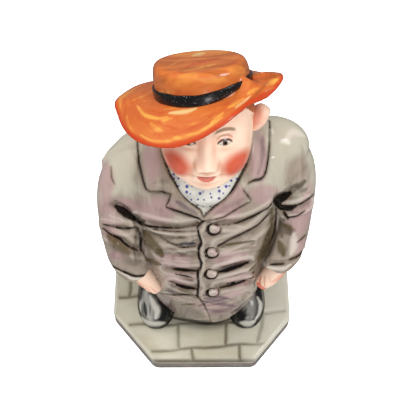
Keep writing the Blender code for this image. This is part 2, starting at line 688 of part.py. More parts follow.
def combine(item, operation, other, name, overlapping=False):
    """One object joined to or cut by another, which is then removed."""
    mix = item.modifiers.new(operation, "BOOLEAN")
    mix.operation = operation
    mix.solver = "EXACT"
    mix.use_self = overlapping
    mix.object = other
    result = baked(item, name)
    bpy.data.objects.remove(other)
    return result


def build():
    for item in list(bpy.data.objects):
        bpy.data.objects.remove(item)
    skin = fused(figure_masses(), 2)
    thin = skin.modifiers.new("Facets", "DECIMATE")
    thin.ratio = min(1.0, TRIANGLES / (2.0 * len(skin.data.polygons)))
    skin = baked(skin, "figure")
    scale = FIGURE_HEIGHT / DRAWN_HEIGHT
    skin.data.transform(Matrix.Translation((0.0, 0.0, BASE_THICKNESS)) @ Matrix.Scale(scale, 4))
    casting = combine(base_solid(), "UNION", skin, "casting")
    figure = combine(casting, "DIFFERENCE", slot_cutter(scale), "menu_holder_figure")
    figure.data.transform(Matrix.Scale(MM, 4))
    figure.data.materials.clear()
    figure.data.materials.append(glazed_porcelain())
    figure.data.shade_smooth()
    figure.data.set_sharp_from_angle(angle=math.radians(40.0))
    return figure


build()
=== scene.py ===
"""A glazed, hand-painted porcelain figure on a paved base, which holds a menu card behind its waist.

Forms are set out in millimetres above the paving. What is carved or painted on the front of the
coat is set out on a drawing as seen from above at VIEW: x across it, rise up it.
"""
import math

import bmesh
import bpy
import numpy as np
from mathutils import Matrix, Vector
from mathutils.bvhtree import BVHTree


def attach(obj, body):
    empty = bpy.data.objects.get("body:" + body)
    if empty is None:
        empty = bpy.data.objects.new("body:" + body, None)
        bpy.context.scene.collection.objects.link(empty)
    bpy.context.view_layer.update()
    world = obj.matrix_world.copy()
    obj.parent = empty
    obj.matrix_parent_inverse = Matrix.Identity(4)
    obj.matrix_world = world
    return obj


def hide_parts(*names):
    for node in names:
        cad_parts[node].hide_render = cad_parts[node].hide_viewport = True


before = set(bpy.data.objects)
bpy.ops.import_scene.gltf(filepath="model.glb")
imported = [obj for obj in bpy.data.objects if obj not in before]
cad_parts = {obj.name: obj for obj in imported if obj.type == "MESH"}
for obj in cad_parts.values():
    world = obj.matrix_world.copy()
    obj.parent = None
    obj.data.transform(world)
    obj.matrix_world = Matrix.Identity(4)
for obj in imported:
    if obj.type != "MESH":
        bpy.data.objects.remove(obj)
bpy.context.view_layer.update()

bl_info = {
    "name": "Porcelain menu holder",
    "version": (1, 0, 0),
    "blender": (4, 5, 0),
    "location": "3D View > Sidebar > Menu holder",
    "description": "A glazed and hand-painted porcelain figure that holds a menu card",
    "category": "Add Mesh",
}

NODE = "menu_holder_figure"
MM = 0.001
VIEW = math.radians(60.0)
# How far the fine skin keeps within the solid
SKIN = 0.1

# How far the grain of the glaze stands up, in metres
BUMP_DISTANCE = 0.0002

# Base
BASE_WIDTH = 66.0
BASE_DEPTH = 70.0
BASE_THICKNESS = 6.5
CANT_ACROSS = 15.6
CANT_ALONG = 18.8
# The corner in front at the right is cut less deeply
RIGHT_CANT_ACROSS = 14.0
RIGHT_CANT_ALONG = 16.9
JOINT_BORDER = 1.7
# How much further the joints run in the strip along the front, and where that strip begins
FRONT_RUN_ON = 1.3
FRONT_STRIP = -31.0
# How far a stone's edge drops to its joint
STONE_DOME = 0.22
CORNER_ROUNDING = 3.6
# Paving joints: start and end across and along the base, as shares of its width and depth
JOINTS = (
    (-0.50, -0.457, 0.50, -0.383),
    (-0.50, -0.292, 0.20, -0.279),
    (0.34, -0.226, 0.50, -0.212),
    (-0.50, -0.134, -0.10, -0.114),
    (-0.50, 0.020, 0.50, 0.030),
    (-0.50, 0.170, 0.50, 0.165),
    (-0.50, 0.310, 0.50, 0.315),
    (-0.50, 0.430, 0.50, 0.435),
    (-0.139, -0.283, -0.124, -0.424),
    (0.130, -0.283, 0.136, -0.408),
    (0.340, -0.240, 0.310, -0.395),
    (-0.055, -0.428, -0.050, -0.500),
    (0.212, -0.405, 0.206, -0.500),
    (-0.408, 0.020, -0.412, -0.128),
    (0.400, 0.028, 0.402, 0.168),
    (-0.300, 0.022, -0.302, 0.170),
    (-0.130, 0.168, -0.128, 0.312),
    (0.190, 0.166, 0.188, 0.313),
    (-0.400, 0.169, -0.402, 0.311),
    (0.020, 0.312, 0.022, 0.433),
    (-0.250, 0.311, -0.252, 0.431),
    (0.300, 0.314, 0.302, 0.434),
    (-0.120, 0.432, -0.118, 0.500),
    (0.160, 0.433, 0.162, 0.500),
)

# Card slot in the ledge of the coat tail
SLOT_LENGTH = 25.0
SLOT_WIDTH = 4.6
SLOT_DEPTH = 14.0
SLOT_GAP = 1.6

# Figure
FOOTING = 1.5
TROUSER_HEIGHT = 20.0
TROUSER_HALF_WIDTH = 17.5
TROUSER_HALF_DEPTH = 13.5
# Shoes: centre x, centre y, toe turned in degrees
SHOES = ((-17.0, -9.6, 2.5), (16.5, -9.6, -1.0))
SHOE_HALF = (6.3, 12.3, 7.6)
SHOE_BLUNTNESS = 2.4
SOLE_HEIGHT = 1.6
WELT = 0.5

# Coat: height, centre x, half width, front y, back y
LEDGE_HEIGHT = 44.0
COAT_STATIONS = (
    (11.6, 1.2, 20.2, -23.8, 22.9),
    (22.0, 1.2, 21.0, -25.2, 22.8),
    (33.5, 1.0, 21.8, -26.2, 22.4),
    (43.0, 1.0, 22.2, -26.2, 21.7),
    (45.6, 1.0, 22.3, -26.0, 12.4),
    (56.5, 1.0, 22.6, -24.6, 12.0),
    (67.5, 1.2, 22.6, -22.8, 12.0),
    (78.5, 1.6, 22.2, -21.0, 12.0),
    (86.0, 2.2, 20.5, -18.6, 11.5),
    (92.0, 2.4, 17.0, -15.0, 10.5),
    (96.5, 1.6, 12.5, -10.5, 8.5),
)
COAT_SIDE_Y = -3.0
CORNER_TURN = math.radians(-76.0)
CORNER_DROP = 1.5
CORNER_SPREAD = math.radians(16.0)
COAT_SQUARENESS = 2.15
TAIL_SQUARENESS = 3.3
SKIRT_FOLDS = 9
SKIRT_FOLD_DEPTH = 0.8

# How finely the coat's masses are joined, how often they are softened, and the share of the faces
# out of the drawing's view that are kept
COAT_VOXEL = 0.385
COAT_SOFTENING = 12
BEHIND_SHARE = 0.62

# Arms: centre x, centre y, height, radius, from the shoulder to the cuff
RIGHT_ARM = (
    (19.5, 1.0, 87.0, 9.4),
    (24.7, -1.0, 79.0, 9.4),
    (26.8, -4.5, 69.0, 8.4),
    (26.9, -9.0, 58.5, 7.7),
    (26.5, -12.8, 51.0, 7.0),
    (25.2, -15.2, 46.6, 6.2),
    (23.0, -16.4, 44.0, 5.1),
)
LEFT_ARM = (
    (-16.5, 0.0, 81.0, 8.6),
    (-21.0, -1.9, 77.6, 8.8),
    (-23.8, -4.3, 71.8, 8.6),
    (-24.8, -7.0, 65.5, 8.2),
    (-25.1, -10.5, 56.0, 7.4),
    (-24.8, -13.8, 47.5, 6.6),
    (-23.2, -16.2, 42.4, 5.8),
    (-20.9, -17.6, 39.0, 4.4),
)
RIGHT_SHOULDER = ((20.0, 1.0, 87.3), (11.8, 9.0, 8.2))
LEFT_SHOULDER = ((-16.8, 0.3, 80.6), (10.1, 8.7, 7.8))
RIGHT_HAND = (
    (25.8, -14.8, 46.6, 4.0),
    (24.8, -16.8, 41.6, 3.7),
    (22.4, -18.3, 37.0, 3.3),
    (19.8, -19.5, 33.4, 2.4),
)
LEFT_HAND = (
    (-21.4, -17.0, 41.0, 3.6),
    (-19.4, -18.1, 37.2, 3.5),
    (-17.2, -19.2, 33.8, 3.1),
    (-15.6, -19.9, 31.0, 2.3),
)

# Carving on the coat, on the drawing
FRONT_EDGE = (
    (-16.8, 3.5), (-12.0, 2.5), (-9.0, 1.5), (-5.5, 0.0), (-3.3, -1.6), (0.0, -1.4), (2.0, -1.2),
    (4.0, -1.5), (6.0, -1.4), (7.0, -0.6), (8.7, -0.3), (11.0, -1.2), (13.6, -1.2), (15.2, -0.4),
    (17.5, -1.0), (20.0, -1.6), (20.9, -1.0), (22.0, 0.1),
)
EDGE_REACH = 7.0
# How deep the fine lines are pressed in, and how far their marks take to fade
GROOVE = 0.32
LINE_FALLOFF = 1.6
BUTTONS = ((3.3, 19.5), (2.8, 12.1), (2.7, 4.9), (3.4, -1.9))
LEFT_NECK_EDGE = (
    (0.2, 23.2), (-0.5, 25.0), (-3.0, 27.0), (-6.5, 31.0), (-9.5, 36.0), (-11.0, 40.0), (-12.0, 44.0),
)
RIGHT_NECK_EDGE = (
    (0.2, 23.2), (3.5, 26.5), (6.5, 29.0), (8.7, 31.5), (11.0, 35.5), (12.6, 39.0), (13.4, 49.0),
)
LEFT_LAPEL_EDGE = (
    (-19.0, 44.0), (-18.7, 40.0), (-17.8, 36.0), (-16.5, 31.5), (-15.6, 30.6), (-12.0, 30.5), (-8.9, 29.7),
    (-9.4, 28.6), (-10.6, 26.4), (-7.0, 24.8), (-3.0, 23.4), (-0.2, 21.9),
)
RIGHT_LAPEL_EDGE = (
    (19.3, 49.0), (19.2, 45.0), (18.9, 41.0), (18.0, 36.0), (16.8, 34.2), (14.5, 33.6), (12.4, 32.6),
    (11.5, 31.0), (13.0, 29.2), (13.8, 28.0), (9.3, 25.2), (5.6, 23.0), (0.6, 21.9),
)
LEFT_LAPEL = LEFT_LAPEL_EDGE + LEFT_NECK_EDGE
RIGHT_LAPEL = RIGHT_LAPEL_EDGE + RIGHT_NECK_EDGE
NECK_OPENING = LEFT_NECK_EDGE + ((-12.0, 50.0), (13.4, 50.0)) + RIGHT_NECK_EDGE[:0:-1]
COLLAR_BACK_HEIGHT = 88.0
COLLAR_BACK_SLOPE = 0.35
# Folds: three points of the line on the drawing, depth, half width
FOLDS = (
    (-19.9, 22.4, -9.5, 20.0, -1.7, 20.7, 0.9, 0.9),
    (-19.4, 20.1, -13.4, 17.2, -5.9, 16.8, 0.7, 1.0),
    (-8.5, 14.0, -5.0, 14.3, -1.5, 15.3, 0.6, 0.8),
    (-13.7, 12.2, -7.9, 11.3, -1.5, 11.5, 0.7, 0.9),
    (-11.6, 6.6, -7.1, 6.1, -1.5, 6.1, 0.8, 0.8),
    (-9.6, 1.2, -4.3, -0.4, -1.6, 0.1, 0.8, 0.9),
    (-11.0, -0.6, -6.4, -2.9, -1.8, -3.2, 0.6, 0.8),
    (-31.0, 20.4, -24.4, 19.6, -20.3, 20.2, 0.7, 0.8),
    (-31.0, 18.6, -26.1, 16.1, -20.4, 11.8, 0.8, 1.0),
    (-26.5, 26.4, -23.2, 24.4, -20.0, 22.2, 1.5, 1.3),
    (-19.7, 22.0, -19.9, 16.0, -20.6, 9.0, 1.0, 1.1),
    (5.0, 21.4, 13.0, 21.9, 21.4, 26.3, 0.9, 0.9),
    (5.2, 14.3, 15.0, 18.6, 21.8, 25.4, 0.9, 1.0),
    (5.6, 13.6, 10.0, 14.0, 14.7, 15.2, 0.6, 0.8),
    (5.0, 5.9, 9.3, 7.0, 14.6, 8.2, 1.0, 0.9),
    (5.1, 0.0, 11.6, 1.1, 16.0, 1.2, 0.8, 0.9),
    (22.2, 27.4, 22.2, 18.0, 17.5, 5.0, 1.1, 1.2),
    (22.0, 28.0, 25.0, 29.3, 28.4, 31.0, 1.5, 1.6),
    (24.0, 25.2, 28.5, 25.8, 32.0, 27.2, 0.9, 0.9),
    (23.5, 22.0, 25.5, 19.0, 27.6, 16.2, 0.6, 1.3),
    (22.0, 8.6, 27.0, 8.4, 32.5, 11.6, 0.5, 0.6),
    (0.5, -6.7, 7.0, -6.4, 15.0, -4.4, 0.6, 1.0),
    (3.0, -9.0, 6.0, -8.6, 11.0, -7.4, 0.5, 1.0),
)
# Brush strokes on the coat: half width, strength, then the points of the line on the drawing
INK_STROKES = (
    (1.15, 1.00, -26.2, 26.2, -23.6, 24.4, -21.0, 22.3),
    (0.42, 1.00, -21.6, 22.6, -19.8, 21.3, -18.3, 20.2),
    (0.32, 0.85, -20.0, 22.5, -17.5, 20.5, -14.0, 20.0, -8.0, 19.8, -2.0, 20.7),
    (0.24, 0.60, -15.0, 19.3, -8.0, 18.8, -2.0, 18.9),
    (0.24, 0.55, -13.0, 17.0, -9.0, 14.8, -6.0, 14.4),
    (0.26, 0.65, -8.0, 14.3, -6.5, 13.7, -4.0, 13.9, -2.0, 14.2),
    (0.26, 0.50, -11.0, 13.6, -9.5, 13.2, -8.0, 13.0),
    (0.40, 1.00, -9.3, 6.3, -6.0, 6.1, -2.0, 5.9),
    (0.32, 0.65, -8.5, 4.6, -5.5, 4.1, -3.5, 3.7),
    (0.52, 1.00, -8.5, 0.6, -5.5, -0.2, -2.3, -0.6),
    (0.25, 0.55, -11.0, 2.0, -9.5, 1.4, -8.0, 0.7),
    (0.30, 0.55, -20.0, 13.5, -18.3, 9.5, -17.0, 8.0),
    (0.45, 0.75, -20.3, 19.6, -19.5, 16.5, -19.8, 13.0, -19.8, 11.6),
    (0.30, 0.80, -31.0, 20.7, -27.0, 19.9, -24.0, 19.4, -20.6, 19.8),
    (0.36, 0.85, -31.2, 19.3, -28.5, 17.4, -26.0, 16.2, -24.5, 14.6, -21.0, 12.0),
    (0.32, 0.95, -29.6, 6.9, -25.0, 4.7, -21.0, 3.3, -17.6, 3.9),
    (0.34, 0.80, -12.0, 44.0, -11.0, 40.0, -9.5, 36.0, -6.5, 31.0, -3.0, 27.0, -0.5, 25.0, 0.2, 23.2),
    (0.38, 0.90, 13.4, 44.0, 12.6, 39.0, 11.0, 35.5, 8.7, 31.5, 6.5, 29.0, 3.5, 26.5, 0.2, 23.2),
    (0.32, 0.90, -19.2, 46.0, -18.7, 40.0, -17.8, 36.0, -16.5, 31.5, -15.4, 30.6),
    (0.24, 0.60, -15.4, 30.6, -12.0, 30.5, -9.7, 29.9, -8.9, 29.7),
    (0.24, 0.50, -9.2, 29.4, -10.0, 27.5, -10.6, 26.6),
    (0.30, 0.85, -10.4, 26.0, -7.0, 24.8, -3.0, 23.4, -1.0, 22.7, -0.2, 21.8),
    (0.30, 0.85, 19.4, 51.0, 19.2, 45.0, 18.9, 41.0, 18.0, 36.0, 16.8, 34.2, 14.5, 33.6, 13.0, 32.9),
    (0.34, 0.60, 11.5, 31.0, 13.0, 29.2, 13.9, 28.3),
    (0.30, 0.50, 13.6, 27.6, 9.3, 25.2, 5.6, 23.0, 0.6, 21.9),
    (0.28, 0.85, 4.6, 20.7, 9.0, 21.1, 15.0, 23.3, 19.5, 26.0, 21.2, 28.4),
    (0.38, 0.95, 4.8, 14.2, 8.0, 16.2, 13.0, 18.6, 17.5, 21.3, 20.5, 24.5),
    (0.32, 0.60, 5.8, 7.2, 9.5, 8.2, 13.3, 9.1),
    (0.60, 1.00, 5.0, 5.4, 8.0, 6.1, 11.0, 7.0, 14.5, 8.3),
    (0.38, 0.95, 5.8, -0.3, 9.0, 0.4, 12.5, 1.2, 17.0, 3.0),
    (0.30, 0.65, 8.0, 1.0, 10.0, 1.4, 12.0, 1.8),
    (0.34, 0.85, 22.3, 27.0, 22.9, 22.0, 22.7, 18.0, 21.4, 14.0),
    (1.30, 1.00, 21.8, 27.6, 23.6, 28.6, 26.2, 30.2),
    (0.85, 1.00, 22.2, 27.4, 24.4, 25.8, 26.4, 25.7, 28.6, 26.4),
    (0.32, 0.85, 28.0, 26.2, 30.0, 27.0, 34.0, 29.8),
    (0.55, 0.75, 24.8, 24.4, 25.5, 23.4, 26.2, 22.4),
    (0.26, 0.75, 26.0, 22.7, 29.0, 23.3, 31.4, 24.8),
    (0.26, 0.65, 30.0, 14.8, 31.4, 15.9, 32.7, 17.0),
    (0.30, 0.85, 28.0, 9.0, 31.0, 10.2, 33.2, 12.5),
    (0.36, 0.85, 22.0, 7.4, 24.0, 7.5, 26.2, 7.7),
    (0.36, 0.55, 18.0, 3.2, 17.7, 0.8, 18.1, -1.6),
    (0.24, 0.45, -27.2, 38.0, -27.0, 35.0, -26.2, 33.0),
    (0.28, 0.65, -14.7, -3.9, -8.0, -3.3, -1.8, -2.9),
    (0.24, 0.40, -7.1, -7.4, -4.5, -6.9, -1.8, -6.5),
    (0.24, 0.35, -7.2, -8.4, -7.5, -12.0, -7.7, -15.1),
)
OLIVE_STROKES = (
    (0.55, 0.65, -18.5, 20.5, -15.0, 17.8, -12.0, 17.3),
    (0.45, 0.65, -7.6, 16.9, -6.6, 16.9, -5.6, 16.9),
    (0.50, 0.65, -8.0, 11.9, -6.3, 11.7, -4.5, 11.7),
    (1.90, 1.15, -18.2, 18.4, -15.2, 14.0, -12.8, 11.0),
    (1.10, 1.00, -18.0, 8.8, -15.8, 8.2, -13.4, 7.7),
    (2.30, 0.80, -29.4, 17.0, -27.0, 14.5, -23.4, 11.4),
    (0.90, 0.70, -7.6, -1.0, -5.0, -1.9, -3.0, -2.6),
    (0.40, 0.55, -8.0, 3.2, -5.4, 2.8, -3.2, 2.6),
    (0.45, 0.80, 5.5, 13.6, 9.0, 14.8, 13.0, 15.3, 16.0, 15.6),
    (2.40, 0.70, 21.3, 25.5, 21.3, 20.0, 19.8, 14.0, 16.8, 8.6),
    (1.10, 0.65, 25.2, 20.2, 27.0, 19.4, 28.8, 18.7),
    (1.50, 1.00, 24.2, 14.8, 25.0, 12.6, 25.8, 10.8),
    (0.60, 1.25, 22.0, 16.0, 20.4, 11.6, 17.6, 7.8, 15.2, 5.6),
    (0.70, 0.70, -11.4, 44.0, -10.0, 38.0, -7.4, 32.8, -3.4, 28.0, 0.0, 24.8),
    (0.50, 0.50, 9.0, 12.5, 13.0, 13.4, 17.0, 13.2),
    (0.50, 0.45, 7.5, 3.6, 11.0, 4.2, 14.5, 5.2),
    (0.45, 0.60, -1.9, 20.9, -1.3, 21.6, -0.7, 21.0),
)
BLUE_STROKES = (
    (0.50, 0.90, -6.8, 15.0, -4.5, 15.0, -2.2, 15.1),
    (0.45, 0.60, -5.0, 12.4, -3.5, 12.5, -2.0, 12.6),
    (0.55, 0.60, -12.5, -2.0, -9.0, -2.7, -4.0, -3.0),
    (0.60, 0.70, -20.3, 19.4, -19.6, 16.0, -19.8, 12.4),
    (0.60, 0.60, 5.6, 6.4, 9.0, 7.3, 12.5, 8.3),
    (0.80, 0.45, 26.8, 25.0, 28.0, 24.4, 30.0, 24.2),
)
# Plum strokes, in the same way: the coat's own paint, and the broad ones low on the hem painted shade
PLUM_STROKES = (
    (1.10, 0.80, -7.4, 27.6, -4.5, 25.8, -1.6, 24.2),
    (0.80, 1.00, 0.4, -2.8, 5.6, -3.8, 10.2, -5.5),
    (0.90, 1.15, 0.4, -5.2, 5.7, -6.7, 10.9, -8.4),
    (0.70, 0.90, 0.6, -4.0, 4.0, -4.8, 8.0, -6.0),
    (1.20, 0.80, 10.0, -9.7, 13.0, -10.6, 16.0, -11.0),
    (1.60, 0.60, -14.0, -9.5, -12.9, -11.8, -10.0, -13.4),
    (4.60, 0.50, -12.6, -8.4, -7.0, -11.0, -1.0, -12.6),
    (3.60, 0.55, 3.0, -10.0, 9.0, -10.6, 13.0, -8.4),
    (1.40, 0.75, 0.8, -8.6, 4.0, -9.6, 7.0, -10.4),
    (2.20, 0.55, -7.0, -9.4, -3.0, -9.8, 0.4, -10.2),
    (1.80, 0.45, 1.6, -13.4, 5.0, -14.0, 9.0, -12.6),
    (0.50, 0.50, 3.4, -10.0, 4.6, -12.0, 5.0, -14.6),
    (1.30, 0.50, 3.4, 24.0, 7.2, 26.0, 12.4, 28.8),
    (1.40, 0.60, 15.8, 35.6, 17.0, 41.0, 17.2, 46.0),
    (1.20, 0.50, -27.6, 12.2, -28.8, 10.4, -26.4, 9.4),
    (1.60, 0.35, -15.0, 26.5, -11.5, 24.2, -9.0, 23.2),
)
# Pale strokes on the coat, in the same way: the pale cuff bands, and painted highlights on the shoulders, the
# right sleeve, the front edge and the ridges of folds
PALE_STROKES = (
    (0.62, 1.00, -28.8, 5.9, -25.0, 3.9, -22.4, 2.4, -18.9, 2.4, -17.4, 3.2),
    (0.75, 1.10, 20.8, 6.4, 23.0, 6.1, 26.1, 6.0, 28.4, 7.4),
    (0.50, 0.65, 23.3, 24.4, 23.5, 21.0, 23.5, 18.6),
    (1.70, 0.80, 28.6, 17.4, 29.0, 14.0, 28.2, 11.0),
    (1.60, 0.75, 24.0, 45.5, 26.5, 47.8, 29.5, 46.8),
    (0.45, 0.50, 0.0, -5.5, 1.5, -9.0, 2.5, -12.0, 3.4, -16.0),
    (0.36, 0.80, 13.0, 27.9, 13.2, 27.7, 13.4, 27.5),
    (0.50, 0.55, -0.6, 19.0, 0.2, 15.0, -0.4, 11.5, 0.5, 8.6, -0.5, 4.0, -0.5, 0.0),
    (0.45, 0.50, -8.0, 7.4, -5.0, 7.2, -2.4, 7.1),
    (0.45, 0.50, -7.0, -3.6, -5.0, -4.1, -2.8, -4.3),
    (0.50, 0.50, 6.0, 4.0, 9.5, 4.9, 13.6, 6.3),
    (0.45, 0.45, 6.0, -1.8, 10.0, -1.3, 14.0, -0.2),
    (0.50, 0.40, -9.0, 10.4, -6.0, 10.2, -3.0, 10.2),
    (0.60, 0.45, 6.0, 11.4, 10.0, 12.4, 14.6, 12.6),
    (0.60, 0.45, 8.0, 19.0, 12.0, 20.0, 17.0, 22.4),
    (1.30, 0.35, -8.0, 23.0, -5.0, 22.3, -2.4, 21.7),
    (0.70, 0.45, -28.5, 23.6, -26.0, 22.6, -23.0, 21.6),
    (0.70, 0.40, 27.5, 29.4, 30.0, 29.9, 32.6, 31.6),
)
# Broad soft shade on the coat, in the same way
SHADE_STROKES = (
    (2.20, 0.75, -27.5, 27.0, -23.5, 25.2, -19.6, 22.2),
    (3.00, 0.55, -29.0, 17.0, -25.5, 11.5, -22.0, 7.5),
    (2.40, 0.65, -19.5, 19.5, -18.0, 13.0, -15.5, 6.0, -13.5, 0.0),
    (2.60, 0.65, 21.8, 28.0, 22.2, 20.0, 20.4, 12.0, 16.8, 4.6),
    (2.20, 0.75, 23.6, 28.0, 26.8, 29.0, 31.0, 31.0),
    (1.30, 1.30, 23.6, 28.6, 26.6, 30.6, 30.4, 33.6),
    (1.90, 1.20, 24.4, 20.6, 26.0, 19.0, 27.6, 17.8),
    (1.00, 0.90, 23.4, 26.4, 24.6, 24.4, 25.0, 21.8),
    (2.20, 0.35, 25.4, 25.0, 26.0, 18.0, 26.4, 10.4),
    (1.40, 0.50, -3.4, 20.0, -3.0, 12.0, -3.4, 6.0, -3.4, -3.0),
    (1.60, 0.40, 5.4, 20.0, 5.6, 12.0, 5.8, 5.0, 6.0, -2.0),
    (4.60, 1.15, -14.0, -6.0, -9.0, -9.0, -3.0, -10.5, -0.5, -12.0),
    (3.60, 0.70, 3.0, -12.0, 8.0, -11.0, 14.0, -7.0),
    (1.60, 0.55, -15.0, -7.4, -10.0, -11.6, -4.0, -13.8, 2.0, -14.6, 8.0, -13.2, 14.0, -9.0),
    (1.40, 0.55, -1.2, -6.0, -1.6, -10.0, -1.0, -14.0),
    (1.80, 0.40, 26.6, 34.4, 28.6, 36.0, 30.6, 38.0),
    (1.20, 1.10, 24.2, 21.4, 24.6, 19.0, 24.9, 16.6),
    (0.90, 0.80, -10.5, 6.6, -6.5, 6.0, -3.0, 5.8),
    (0.90, 0.80, -10.0, 0.2, -6.5, -0.8, -2.6, -1.4),
    (0.90, 0.80, 5.4, 6.0, 9.0, 7.0, 14.0, 8.6),
    (0.80, 0.70, 5.4, 0.2, 10.0, 1.0, 16.0, 2.6),
    (0.90, 0.70, 5.0, 14.4, 10.0, 17.0, 17.0, 20.6, 20.5, 24.0),
    (0.90, 0.70, -9.0, 14.4, -6.0, 14.6, -2.4, 14.8),
    (2.00, 0.30, -28.0, 33.0, -24.0, 30.0, -20.0, 27.0),
    (1.20, 0.45, -14.0, 33.0, -10.6, 33.6, -8.8, 32.4),
    (1.40, 0.45, 13.6, 44.0, 13.4, 38.0, 10.8, 32.6),
)
# Where the mauve lies over the ground: x, rise, half width, half height
MAUVE_PATCHES = (
    (-29.5, 27.0, 3.0, 5.0),
    (-14.0, 25.0, 7.0, 4.0),
    (-14.6, 40.0, 2.4, 7.0),
    (-28.0, 20.0, 3.4, 6.0),
    (-29.6, 34.0, 3.6, 6.0),
    (29.6, 21.0, 4.0, 5.0),
    (9.4, 29.4, 3.0, 3.0),
    (-9.0, 9.0, 7.0, 3.0),
    (-7.0, 3.0, 6.0, 2.4),
    (9.0, 10.0, 6.0, 3.0),
    (12.0, 2.4, 5.0, 3.0),
    (11.0, -3.0, 4.5, 1.8),
    (-12.0, -8.0, 6.0, 4.0),
    (4.0, -9.0, 8.0, 4.0),
    (32.4, 26.0, 2.6, 8.0),
    (30.6, 14.0, 3.2, 4.0),
    (6.0, 25.0, 5.0, 3.0),
    (-27.0, 10.8, 3.0, 2.2),
    (16.2, 40.0, 3.0, 8.0),
    (-23.0, 26.5, 4.0, 2.4),
    (18.0, 30.0, 5.0, 3.0),
)
# Where the browner ground reaches up, partly as painted shade, in the same way
UMBER_PATCHES = (
    (-16.0, 36.0, 3.4, 8.0),
    (-12.0, 27.0, 8.0, 6.0),
    (12.8, 38.0, 1.6, 7.0),
    (12.0, 27.0, 9.0, 5.0),
    (-26.0, 26.0, 5.0, 4.0),
    (28.0, 36.0, 4.0, 5.0),
    (-11.0, 38.0, 2.4, 7.0),
)
# Where the brush ran across the body, not down it: x, rise, half width, half height
BODY_PATCH = (1.0, 7.0, 20.5, 22.0)

# The painted shadow on the paving under the hem, in the same way
HEM_SHADOW_STROKES = (
    (0.80, 1.00, -12.6, -14.6, -9.0, -15.8, -4.0, -16.6, 2.0, -17.4, 7.0, -16.9, 12.4, -15.4),
    (2.40, 0.45, -11.0, -16.4, -2.0, -18.0, 4.0, -18.4, 11.0, -17.0),
)
# Brush strokes on the hat, hands and shoes, in the same way; painted highlights, sheen and shade are among
# them
# Yellow strokes on the hat: its own paint, and in places painted highlights, as at the brim's pinched point
YELLOW_STROKES = (
    (0.55, 1.00, -17.4, 52.9, -16.6, 52.0, -15.6, 50.4, -13.5, 49.3, -11.5, 48.9, -9.1, 49.1),
    (0.40, 0.80, -10.6, 48.2, -9.4, 48.5, -8.0, 48.8),
    (0.90, 0.70, -13.4, 47.6, -12.0, 46.4, -10.4, 45.5),
    (0.55, 1.00, -15.9, 44.5, -12.9, 42.8, -10.0, 42.5, -6.8, 43.5, -2.6, 44.2, 1.2, 46.0, 4.7, 48.5),
    (0.45, 0.80, 2.0, 47.2, 3.5, 48.4, 5.0, 49.7),
    (0.55, 0.80, 6.2, 51.0, 8.0, 52.0, 10.2, 53.6),
    (0.60, 0.85, 11.3, 54.8, 12.6, 55.6, 14.0, 56.5),
    (0.70, 1.00, 16.6, 57.7, 18.0, 58.5, 19.4, 59.3),
    (0.60, 0.60, -20.0, 50.0, -19.0, 47.0, -17.6, 45.0),
    (0.50, 0.60, -5.0, 60.8, -2.0, 61.6, 0.6, 62.2, 3.4, 63.0),
    (0.55, 0.45, -9.0, 62.4, -6.0, 64.8, -2.0, 66.6),
    (0.60, 0.45, 4.0, 66.4, 7.0, 67.4, 9.4, 66.8),
    (0.40, 0.60, -11.4, 56.2, -9.4, 55.6, -7.4, 55.5),
    (0.45, 0.45, 2.4, 57.6, 5.4, 59.0, 8.0, 60.8),
    (0.50, 0.50, -6.0, 46.6, -2.0, 47.2, 1.0, 48.6),
    (0.45, 0.60, -18.6, 54.6, -15.0, 56.4, -13.6, 57.6),
)
CREAM_STROKES = (
    (0.60, 0.95, -8.6, 50.2, -6.0, 50.3, -4.0, 50.5, -1.8, 51.2),
    (0.90, 0.70, -2.6, 66.5, -1.0, 67.0, 0.4, 67.3),
    (0.30, 0.75, 7.9, 50.8, 10.0, 52.5, 12.1, 54.4),
    (0.30, 0.75, 15.9, 55.6, 17.2, 56.3, 18.5, 57.0),
)
RED_STROKES = (
    (0.60, 0.80, -4.4, 62.0, -2.0, 63.3, 1.8, 64.3, 4.1, 65.0),
    (0.40, 0.90, 12.3, 59.3, 15.0, 60.0, 17.5, 60.5, 20.2, 60.6),
    (0.60, 0.70, -20.4, 53.0, -20.8, 50.0, -19.8, 47.0, -17.6, 44.0),
    (0.70, 0.65, -14.0, 51.4, -11.0, 50.3, -8.6, 50.9),
    (0.60, 0.60, -9.0, 46.6, -5.0, 45.4, -1.0, 46.8, 3.0, 49.8),
    (0.50, 0.60, 4.6, 51.6, 7.4, 53.0, 10.4, 55.6),
    (0.55, 0.55, -10.6, 59.6, -7.0, 60.0, -3.0, 60.4),
    (0.50, 0.60, 5.0, 61.8, 8.4, 63.6, 10.6, 66.0),
    (0.60, 0.45, -10.0, 66.0, -6.0, 68.0, 0.0, 69.0),
    (0.70, 0.60, -12.6, 44.6, -8.0, 44.2, -4.0, 45.6),
    (0.60, 0.60, 13.0, 57.8, 15.6, 59.0, 18.0, 59.9),
    (0.80, 0.90, -13.0, 41.0, -7.0, 40.6, -2.0, 41.8, 2.0, 44.0),
)
# Brown strokes at the brim's right: lines along its edge and fold, and painted shade on the slope behind the
# fold
BROWN_STROKES = (
    (0.34, 0.85, 10.6, 52.0, 12.6, 54.0, 14.6, 55.9, 16.8, 58.0),
    (0.45, 0.90, 12.6, 58.9, 15.4, 59.5, 18.5, 60.2, 20.6, 60.9),
    (0.60, 0.70, 15.0, 57.0, 17.2, 58.6, 19.6, 60.1),
    (0.80, 0.75, 14.0, 60.6, 17.0, 61.3, 20.4, 61.6),
    (0.50, 0.50, 7.6, 61.0, 9.4, 62.2, 11.0, 63.8),
)
